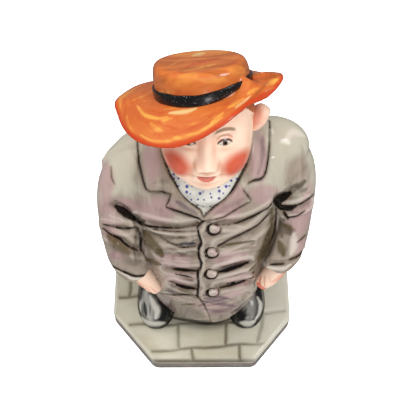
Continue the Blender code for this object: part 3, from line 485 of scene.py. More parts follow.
# Rosy strokes on the hands, in the same way: painted shade in the creases between the fingers, and a flush
# over the hands
FLUSH_STROKES = (
    (0.24, 0.80, -18.9, -1.2, -17.2, -3.2, -16.0, -4.6),
    (0.20, 0.60, -17.6, -0.4, -15.8, -2.4, -14.6, -3.4),
    (0.20, 0.50, -20.6, 1.4, -18.6, -0.4, -17.4, -1.6),
    (0.60, 0.60, -17.4, -4.2, -15.8, -4.2, -14.6, -3.0),
    (1.00, 0.55, -23.0, 1.4, -21.0, 0.0, -19.4, -1.8),
    (0.24, 0.80, 19.4, 2.8, 19.2, 0.8, 19.8, -1.6),
    (0.22, 0.60, 20.6, 3.2, 20.6, 1.0, 21.2, -1.0),
    (0.22, 0.50, 22.2, 3.6, 22.4, 1.8, 23.0, 0.4),
    (1.20, 0.80, 18.6, 0.2, 19.4, -1.6, 21.0, -1.8),
    (1.00, 0.55, 23.6, 1.0, 26.0, 2.6, 28.6, 5.4),
)
# Painted sheen on the shoes, in the same way: pale grey standing for their highlights and reflections, and
# for the bare toes where the black is thin
SHEEN_STROKES = (
    (3.60, 0.62, -20.6, -5.6, -19.8, -9.0, -19.0, -12.0, -18.6, -15.6),
    (1.60, 1.00, -19.0, -7.0, -17.6, -9.8, -16.4, -12.0, -16.9, -14.6),
    (0.80, 0.70, -22.7, -12.8, -22.7, -10.4, -21.8, -8.0),
    (1.30, 1.10, -22.4, -15.3, -19.6, -16.7, -16.8, -17.1, -14.0, -16.8),
    (0.95, 1.00, 20.4, -7.4, 21.6, -10.0, 21.3, -13.0, 19.6, -15.6),
    (1.40, 1.10, 14.2, -16.7, 17.0, -17.1, 19.4, -16.2),
    (3.40, 0.55, 18.6, -7.0, 18.0, -10.6, 18.0, -14.4),
    (1.00, 0.50, 16.0, -14.8, 17.6, -15.2, 19.2, -14.2),
)
# Slate strokes within the sheen: painted dark reflections, and painted shade along the shoes' outlines and
# inner sides
SLATE_STROKES = (
    (0.95, 1.00, -21.1, -9.2, -20.8, -11.4, -20.4, -13.8),
    (0.45, 0.70, -19.2, -9.6, -18.9, -11.4, -18.9, -13.8),
    (1.00, 0.70, 16.4, -11.2, 15.6, -13.2, 16.2, -14.8),
    (0.80, 1.00, -24.2, -6.0, -24.4, -9.6, -23.6, -13.2, -22.6, -14.6),
    (1.80, 1.20, -13.2, -11.6, -13.0, -13.6, -13.6, -15.4),
    (0.70, 1.00, 23.4, -7.0, 23.2, -11.0, 21.8, -14.4, 20.0, -16.4),
    (1.70, 1.20, 12.0, -13.0, 12.4, -15.0, 13.2, -16.4),
    (1.30, 1.20, 21.4, -6.2, 22.4, -7.6, 22.8, -9.0),
)

# Head, with its features as shares of its half sizes
HEAD_CENTRE = (0.9, -5.8, 108.0)
HEAD_HALF = (12.8, 13.4, 16.6)
HEAD_TILT = math.radians(30.0)
JAW_FULLNESS = 2.7
EAR_HALF = (2.2, 3.0, 4.2)
EAR_APART = 14.1
EAR_SET_BACK = 1.6
EAR_RISE = 0.8
EAR_LEAN = 0.42
EYE_APART = 0.38
EYE_HALF_WIDTH = 0.15
EYE_HALF_HEIGHT = 0.05
EYE_LEVEL = 0.0
BROW_RISE = 0.23
MOUTH_RISE = -0.617
# Soft swellings and hollows of the face: how far it stands out, x, z, half width, half height
FACE_MIDDLE = (
    (1.3, 0.0, -0.84, 0.30, 0.13),
    (2.3, 0.0, -0.34, 0.15, 0.12),
    (1.5, 0.0, -0.12, 0.12, 0.22),
    (-0.5, 0.0, 0.10, 0.16, 0.09),
    (-0.35, 0.0, -0.49, 0.04, 0.05),
    (0.5, 0.0, -0.56, 0.24, 0.05),
    (0.55, 0.0, -0.68, 0.20, 0.06),
    (-0.6, 0.0, MOUTH_RISE, 0.25, 0.018),
    (-0.5, 0.0, -0.76, 0.22, 0.045),
)
FACE_SIDES = (
    (0.55, EYE_APART, 0.20, 0.26, 0.07),
    (-1.3, EYE_APART, 0.03, 0.22, 0.13),
    (1.15, EYE_APART, 0.0, 0.15, 0.085),
    (-0.35, EYE_APART, 0.10, 0.16, 0.02),
    (-0.25, EYE_APART, -0.09, 0.15, 0.02),
    (1.4, 0.15, -0.37, 0.07, 0.07),
    (-0.5, 0.24, -0.36, 0.03, 0.08),
    (-0.7, 0.075, -0.45, 0.035, 0.03),
    (1.3, 0.52, -0.38, 0.26, 0.24),
    (-0.5, 0.27, -0.52, 0.05, 0.16),
)
# Soft warm shading round the features, in the same way
SHADE_MIDDLE = (
    (0.75, 0.0, -0.485, 0.15, 0.05),
    (0.55, 0.0, -0.765, 0.20, 0.045),
    (0.3, 0.0, -0.57, 0.05, 0.05),
    (0.7, 0.0, -1.0, 0.5, 0.10),
)
SHADE_SIDES = (
    (0.7, 0.235, -0.37, 0.05, 0.09),
    (0.5, 0.15, -0.08, 0.06, 0.22),
    (0.9, 0.085, -0.455, 0.045, 0.028),
    (0.55, EYE_APART, 0.125, 0.19, 0.035),
    (0.45, EYE_APART, -0.115, 0.17, 0.03),
    (0.45, 0.30, -0.55, 0.06, 0.10),
    (0.5, 0.27, MOUTH_RISE, 0.04, 0.04),
    (0.4, 0.88, -0.35, 0.12, 0.5),
)
# Where the hair begins: height, and how far back it lies at that height
HAIR_LINE = (
    (-0.9, 1.2), (-0.7, 0.55), (-0.35, 0.34), (0.0, 0.16), (0.16, 0.0), (0.3, -0.3), (0.5, -0.56),
)

# Neckcloth
CLOTH_CENTRE = (0.9, -8.8, 86.8)
CLOTH_HALF = (10.8, 10.0, 9.2)

# Hat
HAT_CENTRE = (0.3, -1.5, 116.0)
HAT_TILT = math.radians(32.0)
HAT_ROLL = math.radians(10.0)
CROWN_HALF_WIDTH = 13.0
CROWN_HALF_DEPTH = 11.3
CROWN_HEIGHT = 8.6
CROWN_LIFT = 0.23
BAND_HEIGHT = 3.3
BRIM_THICKNESS = 2.8
# Where the brim is swept up against the crown: height, and turn and spread in degrees
FOLD_RISE = 6.0
FOLD_TURN = -27.0
FOLD_SPREAD = 12.0
# How finely the crown and the brim are joined, and how often they are softened
HAT_VOXEL = 0.34
HAT_SOFTENING = 3
# Brim: angle in degrees from the viewer's right, radius, height of the rim above the crown's foot
BRIM_STATIONS = (
    (-180.0, 24.8, -0.2),
    (-165.0, 23.9, -2.2),
    (-148.0, 23.8, -4.2),
    (-130.0, 23.2, -5.9),
    (-112.0, 21.7, -6.5),
    (-91.0, 20.6, -4.9),
    (-75.0, 20.4, -2.5),
    (-57.0, 18.8, -0.6),
    (-43.0, 17.7, -0.2),
    (-28.0, 18.4, -0.8),
    (-10.0, 20.8, 1.0),
    (-2.0, 21.7, 2.0),
    (5.0, 21.3, 2.1),
    (15.0, 19.2, 1.2),
    (40.0, 19.0, -0.6),
    (90.0, 19.0, -1.0),
    (130.0, 19.9, -0.6),
    (156.0, 22.8, 0.2),
    (170.0, 23.9, 0.2),
)

# Camera: where it stands in millimetres, and how it is turned
CAMERA_PLACE = (-1.36, -143.0, 308.0)
CAMERA_HEADING = math.radians(1.330)
CAMERA_PITCH = math.radians(60.250)
CAMERA_ROLL = math.radians(-1.049)
CAMERA_LENS = 75.21


def shade(red, green, blue):
    """A colour as seen, 0 to 255 each, as the linear values that Blender keeps."""
    linear = []
    for value in (red, green, blue):
        share = value / 255.0
        linear.append(share / 12.92 if share <= 0.04045 else ((share + 0.055) / 1.055) ** 2.4)
    return tuple(linear)


def colour(name, description, red, green, blue):
    return bpy.props.FloatVectorProperty(
        name=name, description=description, default=shade(red, green, blue), size=3, min=0.0, max=1.0,
        subtype="COLOR")


def length(name, description, millimetres):
    return bpy.props.FloatProperty(
        name=name, description=description, default=millimetres * MM, min=0.0, unit="LENGTH",
        subtype="DISTANCE", precision=4)


def amount(name, description, default, high):
    return bpy.props.FloatProperty(
        name=name, description=description, default=default, min=0.0, max=high, subtype="FACTOR")


class BaseSettings(bpy.types.PropertyGroup):
    """The canted base and its paving."""
    arris: length("Arris", "Rounding of the base's top edge", 1.7)
    joint_width: length("Joint width", "Width of the joints between the paving stones", 1.35)
    joint_depth: length("Joint depth", "Depth of the joints between the paving stones", 0.45)
    stone: colour("Stone", "Paving stones", 200, 196, 178)
    warm_stone: colour("Warm stone", "Warmer cloud over the stones", 186, 176, 148)
    bare: colour("Bare glaze", "Paler rim", 212, 208, 194)
    joint: colour("Joint", "Paint in the joints", 100, 90, 66)
    edge: colour("Edge", "Grey of the base's edge", 118, 109, 101)


class CoatSettings(bpy.types.PropertyGroup):
    """The coat, its carving and its paint."""
    fold_depth: amount("Fold depth", "How deep the folds are, against their drawn depth", 1.4, 2.0)
    lapel_height: length("Lapel height", "How far the lapels stand proud", 1.1)
    edge_height: length("Front edge height", "How far the closing edge stands proud", 0.8)
    button_radius: length("Button radius", "Radius of a button", 1.95)
    button_height: length("Button height", "How far a button stands proud", 0.9)
    grey: colour("Grey", "Grey-green ground of the coat", 180, 174, 157)
    mauve: colour("Mauve", "Mauve cloud over the grey", 168, 138, 136)
    # Umber: the coat's own browner paint, laid on lower down also as painted shade
    umber: colour("Umber", "Browner ground low on the coat", 144, 129, 116)
    # Pale: bare streaks and cuff bands, also laid on as painted highlights on crests and the shoulders
    pale: colour("Pale", "Bare streaks, cuffs and crests", 212, 202, 190)
    shadow: colour("Shadow", "Soft wash round the folds", 72, 60, 46)
    ink: colour("Ink", "Dark lines in the folds and along the edges", 14, 8, 5)
    halo: colour("Halo", "Brown where the dark lines thin out", 82, 56, 34)
    olive: colour("Olive", "Olive-brown strokes", 82, 68, 36)
    blue: colour("Blue-black", "Blue-black strokes", 48, 54, 66)
    plum: colour("Plum", "Plum strokes on the lapels and hem", 96, 74, 84)


class HeadSettings(bpy.types.PropertyGroup):
    """The head, neckcloth and hands."""
    skin: colour("Skin", "Painted skin", 234, 203, 180)
    blush: colour("Blush", "Rouge on the cheeks", 198, 68, 30)
    lips: colour("Lips", "Painted lips", 196, 74, 60)
    brow: colour("Brow", "Painted brows and lashes", 104, 74, 50)
    shade: colour("Face shade", "Soft shading round the features", 206, 136, 104)
    hair: colour("Hair", "Painted hair", 186, 96, 44)
    cloth: colour("Cloth", "Ground of the neckcloth", 218, 216, 208)
    dots: colour("Dots", "Dots on the neckcloth", 34, 44, 150)


class HatSettings(bpy.types.PropertyGroup):
    """The hat and its band."""
    band_proud: length("Band thickness", "How far the band stands off the crown", 0.5)
    orange: colour("Orange", "Ground of the hat", 184, 98, 44)
    red: colour("Red", "Deeper strokes", 168, 62, 28)
    rim: colour("Rim", "Red edge of the brim", 172, 52, 20)
    # Yellow: the hat's own paint, and in places a painted highlight
    yellow: colour("Yellow", "Yellow strokes", 208, 150, 66)
    cream: colour("Cream", "Bare patches", 204, 180, 124)
    # Brown: the crown's browner paint, and on the brim, darker, painted shade behind its fold
    brown: colour("Brown", "Browner strokes on the crown", 150, 80, 34)
    band: colour("Band", "Black band", 18, 17, 18)


class ShoeSettings(bpy.types.PropertyGroup):
    """The shoes and what stands in the shade of the coat."""
    leather: colour("Black", "Glossy black of the shoes", 22, 20, 19)
    # Sheen: painted highlights and reflections on the black, and the bare toes
    sheen: colour("Sheen", "Pale grey laid over the black", 196, 193, 184)
    # Slate: painted dark reflections and shade
    slate: colour("Slate", "Dark strokes in the sheen", 26, 27, 27)
    # Trousers: their own dark cloth, painted near black as painted shade under the hem
    cloth: colour("Trousers", "Dark cloth under the coat", 34, 30, 26)


class StageSettings(bpy.types.PropertyGroup):
    """Floor and lights."""
    floor_size: length("Floor size", "Length of the floor's side", 3000.0)
    floor: colour("Floor", "Pale floor", 250, 250, 250)
    sky: amount("Sky", "Strength of the light all round", 0.16, 5.0)
    floor_glow: amount("Floor glow", "Light that the floor gives of itself, as a lit table does", 0.7, 5.0)


GROUPS = {
    "menu_base": BaseSettings,
    "menu_coat": CoatSettings,
    "menu_head": HeadSettings,
    "menu_hat": HatSettings,
    "menu_shoes": ShoeSettings,
    "menu_stage": StageSettings,
}


def smooth_table(table, x, period=None):
    """Columns of a table read at each x on a smooth curve that never swings past its rows."""
    rows = np.array(table, dtype=float)
    if period:
        shift = np.array([period] + [0.0] * (rows.shape[1] - 1))
        rows = np.vstack((rows[-2:] - shift, rows, rows[:2] + shift))
    keys = rows[:, 0]
    values = rows[:, 1:]
    rates = np.diff(values, axis=0) / np.diff(keys)[:, None]
    slopes = np.vstack((rates[:1], rates[:-1], rates[-1:]))[:len(keys)]
    before, after = rates[:-1], rates[1:]
    level = before * after <= 0.0
    slopes[1:-1] = np.where(level, 0.0, 2.0 * before * after / np.where(level, 1.0, before + after))
    x = np.clip(np.atleast_1d(x), keys[0], keys[-1])
    i = np.clip(np.searchsorted(keys, x, side="right") - 1, 0, len(keys) - 2)
    span = (keys[i + 1] - keys[i])[:, None]
    t = (x - keys[i])[:, None] / span
    return (
        values[i] * (2 * t ** 3 - 3 * t ** 2 + 1)
        + values[i + 1] * (3 * t ** 2 - 2 * t ** 3)
        + slopes[i] * span * (t ** 3 - 2 * t ** 2 + t)
        + slopes[i + 1] * span * (t ** 3 - t ** 2)
    )


def stacked(*columns):
    return np.column_stack(np.broadcast_arrays(*columns))


def mapped_solid(columns, rows, place):
    """A closed tube of quads whose points are placed by a rule of two shares from 0 to 1."""
    shape = bmesh.new()
    bmesh.ops.create_grid(shape, x_segments=columns, y_segments=rows, size=0.5)
    shares = np.array([vert.co for vert in shape.verts]) + 0.5
    for vert, point in zip(shape.verts, place(shares[:, 0], shares[:, 1])):
        vert.co = point
    bmesh.ops.remove_doubles(shape, verts=shape.verts, dist=0.001)
    bmesh.ops.holes_fill(shape, edges=[edge for edge in shape.edges if edge.is_boundary])
    bmesh.ops.recalc_face_normals(shape, faces=shape.faces)
    return shape


def ellipsoid(centre, half):
    shape = bmesh.new()
    place = Matrix.Translation(centre) @ Matrix.Diagonal((*half, 1.0))
    bmesh.ops.create_uvsphere(shape, u_segments=64, v_segments=40, radius=1.0, matrix=place)
    return shape


def mesh_from(shape, name):
    mesh = bpy.data.meshes.new(name)
    shape.to_mesh(mesh)
    shape.free()
    return mesh


def object_from(shape, name):
    item = bpy.data.objects.new(name, mesh_from(shape, name))
    bpy.context.scene.collection.objects.link(item)
    return item


def baked(item):
    """The evaluated mesh of an object, with the object removed."""
    bpy.context.view_layer.update()
    mesh = bpy.data.meshes.new_from_object(item.evaluated_get(bpy.context.evaluated_depsgraph_get()))
    bpy.data.objects.remove(item)
    return mesh


def fused(shapes, voxel, soften_steps):
    """All the masses as one skin."""
    whole = bmesh.new()
    for shape in shapes:
        mass = mesh_from(shape, "mass")
        whole.from_mesh(mass)
        bpy.data.meshes.remove(mass)
    item = object_from(whole, "masses")
    remesh = item.modifiers.new("One skin", "REMESH")
    remesh.mode = "VOXEL"
    remesh.voxel_size = voxel
    soften = item.modifiers.new("Soften", "SMOOTH")
    soften.factor = 0.5
    soften.iterations = soften_steps
    skin = baked(item)
    place_points(skin, points_of(skin) - SKIN * points_of(skin, "normal"))
    return skin


def points_of(mesh, kind="co"):
    points = np.empty(3 * len(mesh.vertices))
    mesh.vertices.foreach_get(kind, points)
    return points.reshape(-1, 3)


def place_points(mesh, points):
    mesh.vertices.foreach_set("co", points.ravel())
    mesh.update()


def paint(mesh, name, values):
    """Keeps a number for each point of a mesh, for its glaze to read."""
    marks = mesh.attributes.new(name, "FLOAT", "POINT")
    marks.data.foreach_set("value", np.asarray(values, dtype=np.float32))


def finish_piece(mesh, name, glaze):
    """Sets a mesh on the base at its real size, with its glaze, as a piece of the figure."""
    mesh.transform(Matrix.Scale(MM, 4) @ Matrix.Translation((0.0, 0.0, BASE_THICKNESS)))
    mesh.name = name
    mesh.materials.clear()
    mesh.materials.append(glaze)
    mesh.shade_smooth()
    piece = bpy.data.objects.new(name, mesh)
    bpy.context.scene.collection.objects.link(piece)
    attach(piece, "root")
    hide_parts(NODE)


def oblique(points):
    """Points on the drawing: x across and the rise up it."""
    return np.column_stack((points[:, 0], math.cos(VIEW) * points[:, 2] + math.sin(VIEW) * points[:, 1]))


def line_reach(places, line):
    """Distance on the drawing from each place to a line of points, and the share along it."""
    best = np.full(len(places), 1e9)
    along = np.zeros(len(places))
    count = len(line) - 1
    for i in range(count):
        start = np.array(line[i])
        run = np.array(line[i + 1]) - start
        share = np.clip(((places - start) @ run) / (run @ run), 0.0, 1.0)
        away = np.linalg.norm(places - start - share[:, None] * run, axis=1)
        along = np.where(away < best, (i + share) / count, along)
        best = np.minimum(best, away)
    return best, along


def inside(places, outline):
    """Which places on the drawing lie inside an outline."""
    held = np.zeros(len(places), dtype=bool)
    x, rise = places[:, 0], places[:, 1]
    for (x0, r0), (x1, r1) in zip(outline, outline[1:] + outline[:1]):
        if r0 != r1:
            crosses = (r0 > rise) != (r1 > rise)
            held ^= crosses & (x < x0 + (rise - r0) * (x1 - x0) / (r1 - r0))
    return held


def plate(places, outline, soft):
    """1 inside an outline, 0 outside, with a soft edge."""
    away = line_reach(places, outline + outline[:1])[0]
    signed = np.where(inside(places, outline), away, -away)
    return np.clip(0.5 + signed / soft, 0.0, 1.0)


def bowed(x0, r0, x1, r1, x2, r2, steps=8):
    """A line that bows through three points."""
    line = []
    for i in range(steps + 1):
        t = i / steps
        a, b, c = (1 - t) * (1 - 2 * t), 4 * t * (1 - t), t * (2 * t - 1)
        line.append((a * x0 + b * x1 + c * x2, a * r0 + b * r1 + c * r2))
    return line


def drawn(numbers, steps=4):
    """A smooth line through points given as x, rise, x, rise and so on."""
    points = np.array(numbers).reshape(-1, 2)
    keyed = np.column_stack((np.arange(len(points)), points))
    return smooth_table(keyed, np.linspace(0.0, len(points) - 1, steps * (len(points) - 1) + 1))


def near_line(places, line, margin):
    """Which places lie in the box round a line, widened by a margin."""
    return np.all((places > line.min(axis=0) - margin) & (places < line.max(axis=0) + margin), axis=1)


def tapered(wide, along):
    """Half width of a brush stroke at a share along it, thinner towards its ends."""
    return wide * (0.35 + 0.65 * np.sin(math.pi * np.clip(along, 0.03, 0.97)) ** 0.7)


def stroke_cover(places, strokes, soft=False, wider=0.0):
    """How strongly tapered brush strokes, or soft shade, cover each place on the drawing."""
    cover = np.zeros(len(places))
    for wide, strength, *numbers in strokes:
        wide += wider
        line = drawn(numbers)
        near = near_line(places, line, 3.0 * wide)
        away, along = line_reach(places[near], line)
        reach = tapered(wide, along)
        share = np.exp(-(away / reach) ** 2) if soft else np.clip(1.5 - away / reach, 0.0, 1.0)
        cover[near] = np.maximum(cover[near], strength * share)
    return cover


def line_edge(away, half):
    """0.5 at a line's edge, more inside it and less outside, even enough for coarse points to carry."""
    return np.clip(0.5 + (half - away) / LINE_FALLOFF, 0.0, 1.0)


def stroke_edge(places, strokes):
    """The edges of tapered brush strokes at each place on the drawing, for a glaze to cut crisply."""
    edge = np.zeros(len(places))
    for wide, strength, *numbers in strokes:
        line = drawn(numbers)
        near = near_line(places, line, wide + LINE_FALLOFF)
        away, along = line_reach(places[near], line)
        edge[near] = np.maximum(edge[near], line_edge(away, tapered(wide * strength, along)))
    return edge


def soft_patches(places, patches):
    """1 inside soft oval patches on the drawing, fading to 0."""
    cover = np.zeros(len(places))
    for x, rise, wide, high in patches:
        reach = ((places[:, 0] - x) / wide) ** 2 + ((places[:, 1] - rise) / high) ** 2
        cover = np.maximum(cover, np.exp(-0.7 * reach ** 1.4))
    return cover


def front_edge_x(rise):
    """Where the closing edge of the coat lies across at each rise."""
    rises, places = zip(*FRONT_EDGE)
    return np.interp(rise, rises, places)


def skirt_relief(turn, height):
    """Soft upright folds round the sides and back of the skirt, fading out at the front and waist."""
    low = np.clip((LEDGE_HEIGHT - 3.0 - height) / 16.0, 0.0, 1.0)
    away = 0.5 + 0.5 * np.sin(turn)
    return SKIRT_FOLD_DEPTH * low * away * np.cos(SKIRT_FOLDS * (turn - 0.5 * math.pi))


def coat_points(turn, height):
    """Points on the coat at angles about its axis, measured from the viewer's right."""
    centre_x, half_width, front, back = smooth_table(COAT_STATIONS, height).T
    c = np.cos(turn)
    s = np.sin(turn)
    tail = np.where(s > 0.0, 1.0 / (1.0 + np.exp((height - LEDGE_HEIGHT - 1.6) / 0.6)), 0.0)
    power = 2.0 / (COAT_SQUARENESS + (TAIL_SQUARENESS - COAT_SQUARENESS) * tail)
    x = centre_x + half_width * np.copysign(np.abs(c) ** power, c)
    depth = np.where(s > 0.0, back - COAT_SIDE_Y, COAT_SIDE_Y - front)
    y = COAT_SIDE_Y + depth * np.copysign(np.abs(s) ** power, s)
    out = skirt_relief(turn, height)
    return stacked(x + out * c, y + out * s, height)


def coat_body():
    """The coat from its hem to the neck, with the card slot cut in the ledge of its tail."""
    high = COAT_STATIONS[-1][0]

    def place(u, v):
        turn = 2.0 * math.pi * u - math.pi
        low = COAT_STATIONS[0][0] - CORNER_DROP * np.exp(-((turn - CORNER_TURN) / CORNER_SPREAD) ** 2)
        return coat_points(turn, low + (high - low) * v)

    waist_back = smooth_table(COAT_STATIONS, LEDGE_HEIGHT + 2.0)[0][3]
    above = 0.5 * SLOT_DEPTH
    middle = (0.0, waist_back + SLOT_GAP + SLOT_WIDTH / 2.0, LEDGE_HEIGHT + (above - SLOT_DEPTH) / 2.0)
    shape = bmesh.new()
    size = Matrix.Diagonal((SLOT_LENGTH, SLOT_WIDTH, SLOT_DEPTH + above, 1.0))
    bmesh.ops.create_cube(shape, size=1.0, matrix=Matrix.Translation(middle) @ size)
    cutter = object_from(shape, "slot")
    body = object_from(mapped_solid(200, 150, place), "coat body")
    cut = body.modifiers.new("Slot", "BOOLEAN")
    cut.operation = "DIFFERENCE"
    cut.solver = "EXACT"
    cut.object = cutter
    mesh = baked(body)
    bpy.data.objects.remove(cutter)
    result = bmesh.new()
    result.from_mesh(mesh)
    bpy.data.meshes.remove(mesh)
    return result


def limb(stations, columns=48, rows=48):
    """A sleeve or hand along its centre line, round across."""
    centres = np.array(stations)
    keyed = np.column_stack((np.arange(len(centres)), centres))
    last = len(centres) - 1

    def place(u, v):
        step = v * last
        here = smooth_table(keyed, step)
        along = smooth_table(keyed, step + 0.05)[:, :3] - smooth_table(keyed, step - 0.05)[:, :3]
        along /= np.linalg.norm(along, axis=1)[:, None]
        across = np.cross(along, (0.0, 1.0, 0.0))
        across /= np.linalg.norm(across, axis=1)[:, None]
        deep = np.cross(along, across)
        turn = 2.0 * math.pi * u[:, None]
        return here[:, :3] + here[:, 3:] * (across * np.cos(turn) + deep * np.sin(turn))

    return mapped_solid(columns, rows, place)


def tree_of(mesh):
    """The mesh's faces in a tree that rays are cast at."""
    bare = bmesh.new()
    bare.from_mesh(mesh)
    tree = BVHTree.FromBMesh(bare)
    bare.free()
    return tree


def seen_from_drawing(mesh):
    """1 where the drawing's view reaches a point of the mesh, fading to 0 where it doesn't."""
    points, normals = points_of(mesh), points_of(mesh, "normal")
    tree = tree_of(mesh)
    out_of_drawing = Vector((0.0, -math.cos(VIEW), math.sin(VIEW)))
    starts = [Vector(p) + 0.5 * Vector(n) + 0.7 * out_of_drawing for p, n in zip(points, normals)]
    seen = np.array([tree.ray_cast(start, out_of_drawing)[0] is None for start in starts], dtype=float)
    ends = np.empty(2 * len(mesh.edges), dtype=int)
    mesh.edges.foreach_get("vertices", ends)
    first, second = ends.reshape(-1, 2).T
    count = len(points)
    neighbours = np.bincount(first, minlength=count) + np.bincount(second, minlength=count)
    for _ in range(5):
        total = np.bincount(first, seen[second], count) + np.bincount(second, seen[first], count)
        seen = 0.5 * seen + 0.5 * total / np.maximum(neighbours, 1)
    return seen


def coat_relief(points, normals, seen, coat):
    """How far each point of the coat moves out: folds, lapels, the front edge and the neck opening."""
    places = oblique(points)
    toward = -normals[:, 1] * math.cos(VIEW) + normals[:, 2] * math.sin(VIEW)
    facing = seen * np.clip(0.15 + 2.0 * toward, 0.0, 1.0)
    out = np.zeros(len(points))
    for *ends, depth, wide in FOLDS:
        away = line_reach(places, bowed(*ends))[0] / wide
        ridge = 0.45 if wide < 1.25 else 0.1
        out += coat.fold_depth * depth * (ridge * np.exp(-((away - 2.2) / 1.1) ** 2) - np.exp(-away ** 2))
    out -= GROOVE * stroke_cover(places, INK_STROKES, soft=True, wider=0.25)
    beyond = places[:, 0] - front_edge_x(places[:, 1])
    over = np.clip(beyond / 0.5, 0.0, 1.0) * np.exp(-np.clip(beyond, 0.0, None) / EDGE_REACH)
    out += coat.edge_height / MM * over * (places[:, 1] < 22.0) * (beyond < 3.0 * EDGE_REACH)
    depth = np.clip((places[:, 1] - 21.0) / 5.0, 0.3, 1.0)
    out -= 1.6 * depth * plate(places, NECK_OPENING, 1.5)
    lapels = np.maximum(plate(places, LEFT_LAPEL, 0.7), plate(places, RIGHT_LAPEL, 0.7))
    back = points[:, 2] - COLLAR_BACK_HEIGHT - COLLAR_BACK_SLOPE * points[:, 0]
    collar = np.clip(back / 0.7, 0.0, 1.0) * np.clip((points[:, 1] + 1.0) / 1.5, 0.0, 1.0)
    return out * facing + coat.lapel_height / MM * np.maximum(lapels * facing, collar)


def coat_paint(mesh, seen, coat):
    """Marks on the coat where each kind of paint lies, painted shade and painted highlights among them."""
    points = points_of(mesh)
    places = oblique(points)
    rise = places[:, 1]
    ink = stroke_edge(places, INK_STROKES)
    away = line_reach(places, [(x, up) for up, x in FRONT_EDGE])[0]
    levels = (-17.0, -5.0, -3.3, 0.0, 13.6, 20.0, 22.0)
    thick = np.interp(rise, levels, (0.26, 0.26, 0.42, 0.25, 0.34, 0.28, 0.34))
    firm = np.interp(rise, levels[:3], (0.4, 0.6, 1.0))
    ink = np.maximum(ink, line_edge(away, firm * thick))
    for x, up in BUTTONS:
        away = np.hypot(places[:, 0] - x, (rise - up) * 1.2) - coat.button_radius / MM
        # The ring of ink round each button thickens at its lower left into a painted shadow
        lower_left_shadow = np.clip(0.5 - 0.12 * (places[:, 0] - x + rise - up), 0.0, 1.0)
        ink = np.maximum(ink, line_edge(np.abs(away - 0.1), 0.10 + 0.22 * lower_left_shadow))
    shade = np.maximum(stroke_cover(places, SHADE_STROKES, soft=True),
                       0.75 * stroke_cover(places, INK_STROKES, soft=True, wider=0.75))
    # Pale bands and painted highlights from the pale strokes
    pale_and_highlight = stroke_cover(places, PALE_STROKES, soft=True)
    # Painted shade in each fold's hollow and a painted highlight along its ridge
    for *ends, depth, wide in FOLDS:
        away = line_reach(places, bowed(*ends))[0] / wide
        shade = np.maximum(shade, 0.6 * min(1.0, depth) * np.exp(-(away / 1.4) ** 2))
        ridge = 0.55 * min(1.0, depth) * (wide < 1.05)
        pale_and_highlight = np.maximum(pale_and_highlight, ridge * np.exp(-((away - 2.4) / 0.9) ** 2))
    # Browner lower down and in the umber patches: the coat's own umber, and painted shade where less light
    # reaches
    low = np.maximum(np.clip((37.0 - rise) / 20.0, 0.0, 1.0), soft_patches(places, UMBER_PATCHES))
    low_behind = np.clip((78.0 - points[:, 2]) / 50.0, 0.0, 1.0)
    body_x, body_rise, body_wide, body_high = BODY_PATCH
    reach = ((places[:, 0] - body_x) / body_wide) ** 2 + ((rise - body_rise) / body_high) ** 2
    paint(mesh, "ink", ink * seen)
    paint(mesh, "shade", shade * seen)
    for name, strokes in (("olive", OLIVE_STROKES), ("blue", BLUE_STROKES), ("plum", PLUM_STROKES)):
        paint(mesh, name, stroke_cover(places, strokes, soft=True, wider=0.15) * seen)
    paint(mesh, "pale", pale_and_highlight * seen)
    paint(mesh, "mauve", soft_patches(places, MAUVE_PATCHES) * seen + 0.35 * (1.0 - seen))
    paint(mesh, "low", low * seen + low_behind * (1.0 - seen))
    paint(mesh, "body", np.exp(-reach ** 3) * seen)
    paint(mesh, "cloth", plate(places, NECK_OPENING, 0.5) * seen)
    cloth_paint(mesh)


def cloth_paint(mesh):
    """Places on the drawing for the neckcloth's dots, and 1 towards the foot of the neck opening, where
    painted shade lies.
    """
    places = oblique(points_of(mesh))
    paint(mesh, "across", places[:, 0])
    paint(mesh, "rise", places[:, 1])
    paint(mesh, "foot", np.clip((32.0 - places[:, 1]) / 9.0, 0.0, 1.0))


def thinned_behind(mesh, seen, ratio):
    """The same skin with fewer faces where the drawing's view doesn't reach."""
    item = bpy.data.objects.new("skin", mesh)
    bpy.context.scene.collection.objects.link(item)
    group = item.vertex_groups.new(name="behind")
    group.add([int(i) for i in np.nonzero(seen < 0.02)[0]], 1.0, "REPLACE")
    thin = item.modifiers.new("Thin", "DECIMATE")
    thin.ratio = ratio
    thin.vertex_group = "behind"
    thin.vertex_group_factor = 1.0
    return baked(item)


def head_matrix():
    return Matrix.Translation(HEAD_CENTRE) @ Matrix.Rotation(-HEAD_TILT, 4, "X")


def hat_matrix():
    tilt = Matrix.Rotation(-HAT_ROLL, 4, "Y") @ Matrix.Rotation(-HAT_TILT, 4, "X")
    return Matrix.Translation(HAT_CENTRE) @ tilt


def moved(points, matrix):
    rows = np.array(matrix)
    return points @ rows[:3, :3].T + rows[:3, 3]


def mound(points, x, z, wide, high):
    """A soft round swelling of 1 on the face, centred at x and z as shares of the head's half sizes."""
    return np.exp(-((points[:, 0] - x) / wide) ** 2 - ((points[:, 2] - z) / high) ** 2)


def mounds(points, rows):
    """Soft swellings together: height, x, z, half width, half height."""
    return sum(rise * mound(points, *row) for rise, *row in rows)


def both_sides(rows):
    """The same rows at the left and the right of the face."""
    return [(rise, side * x, *row) for side in (-1.0, 1.0) for rise, x, *row in rows]


def face_relief(points):
    """How far each point of a unit head stands out, in millimetres: calm, on plain proportions."""
    front = np.clip(-points[:, 1] * 2.5, 0.0, 1.0)
    out = mounds(points, (*FACE_MIDDLE, *both_sides(FACE_SIDES)))
    hair = hair_cover(points, 0.03)
    strands = 0.12 * np.sin(46.0 * np.arctan2(points[:, 0], points[:, 1]) + 4.0 * points[:, 2])
    return out * front + (0.7 + strands) * hair


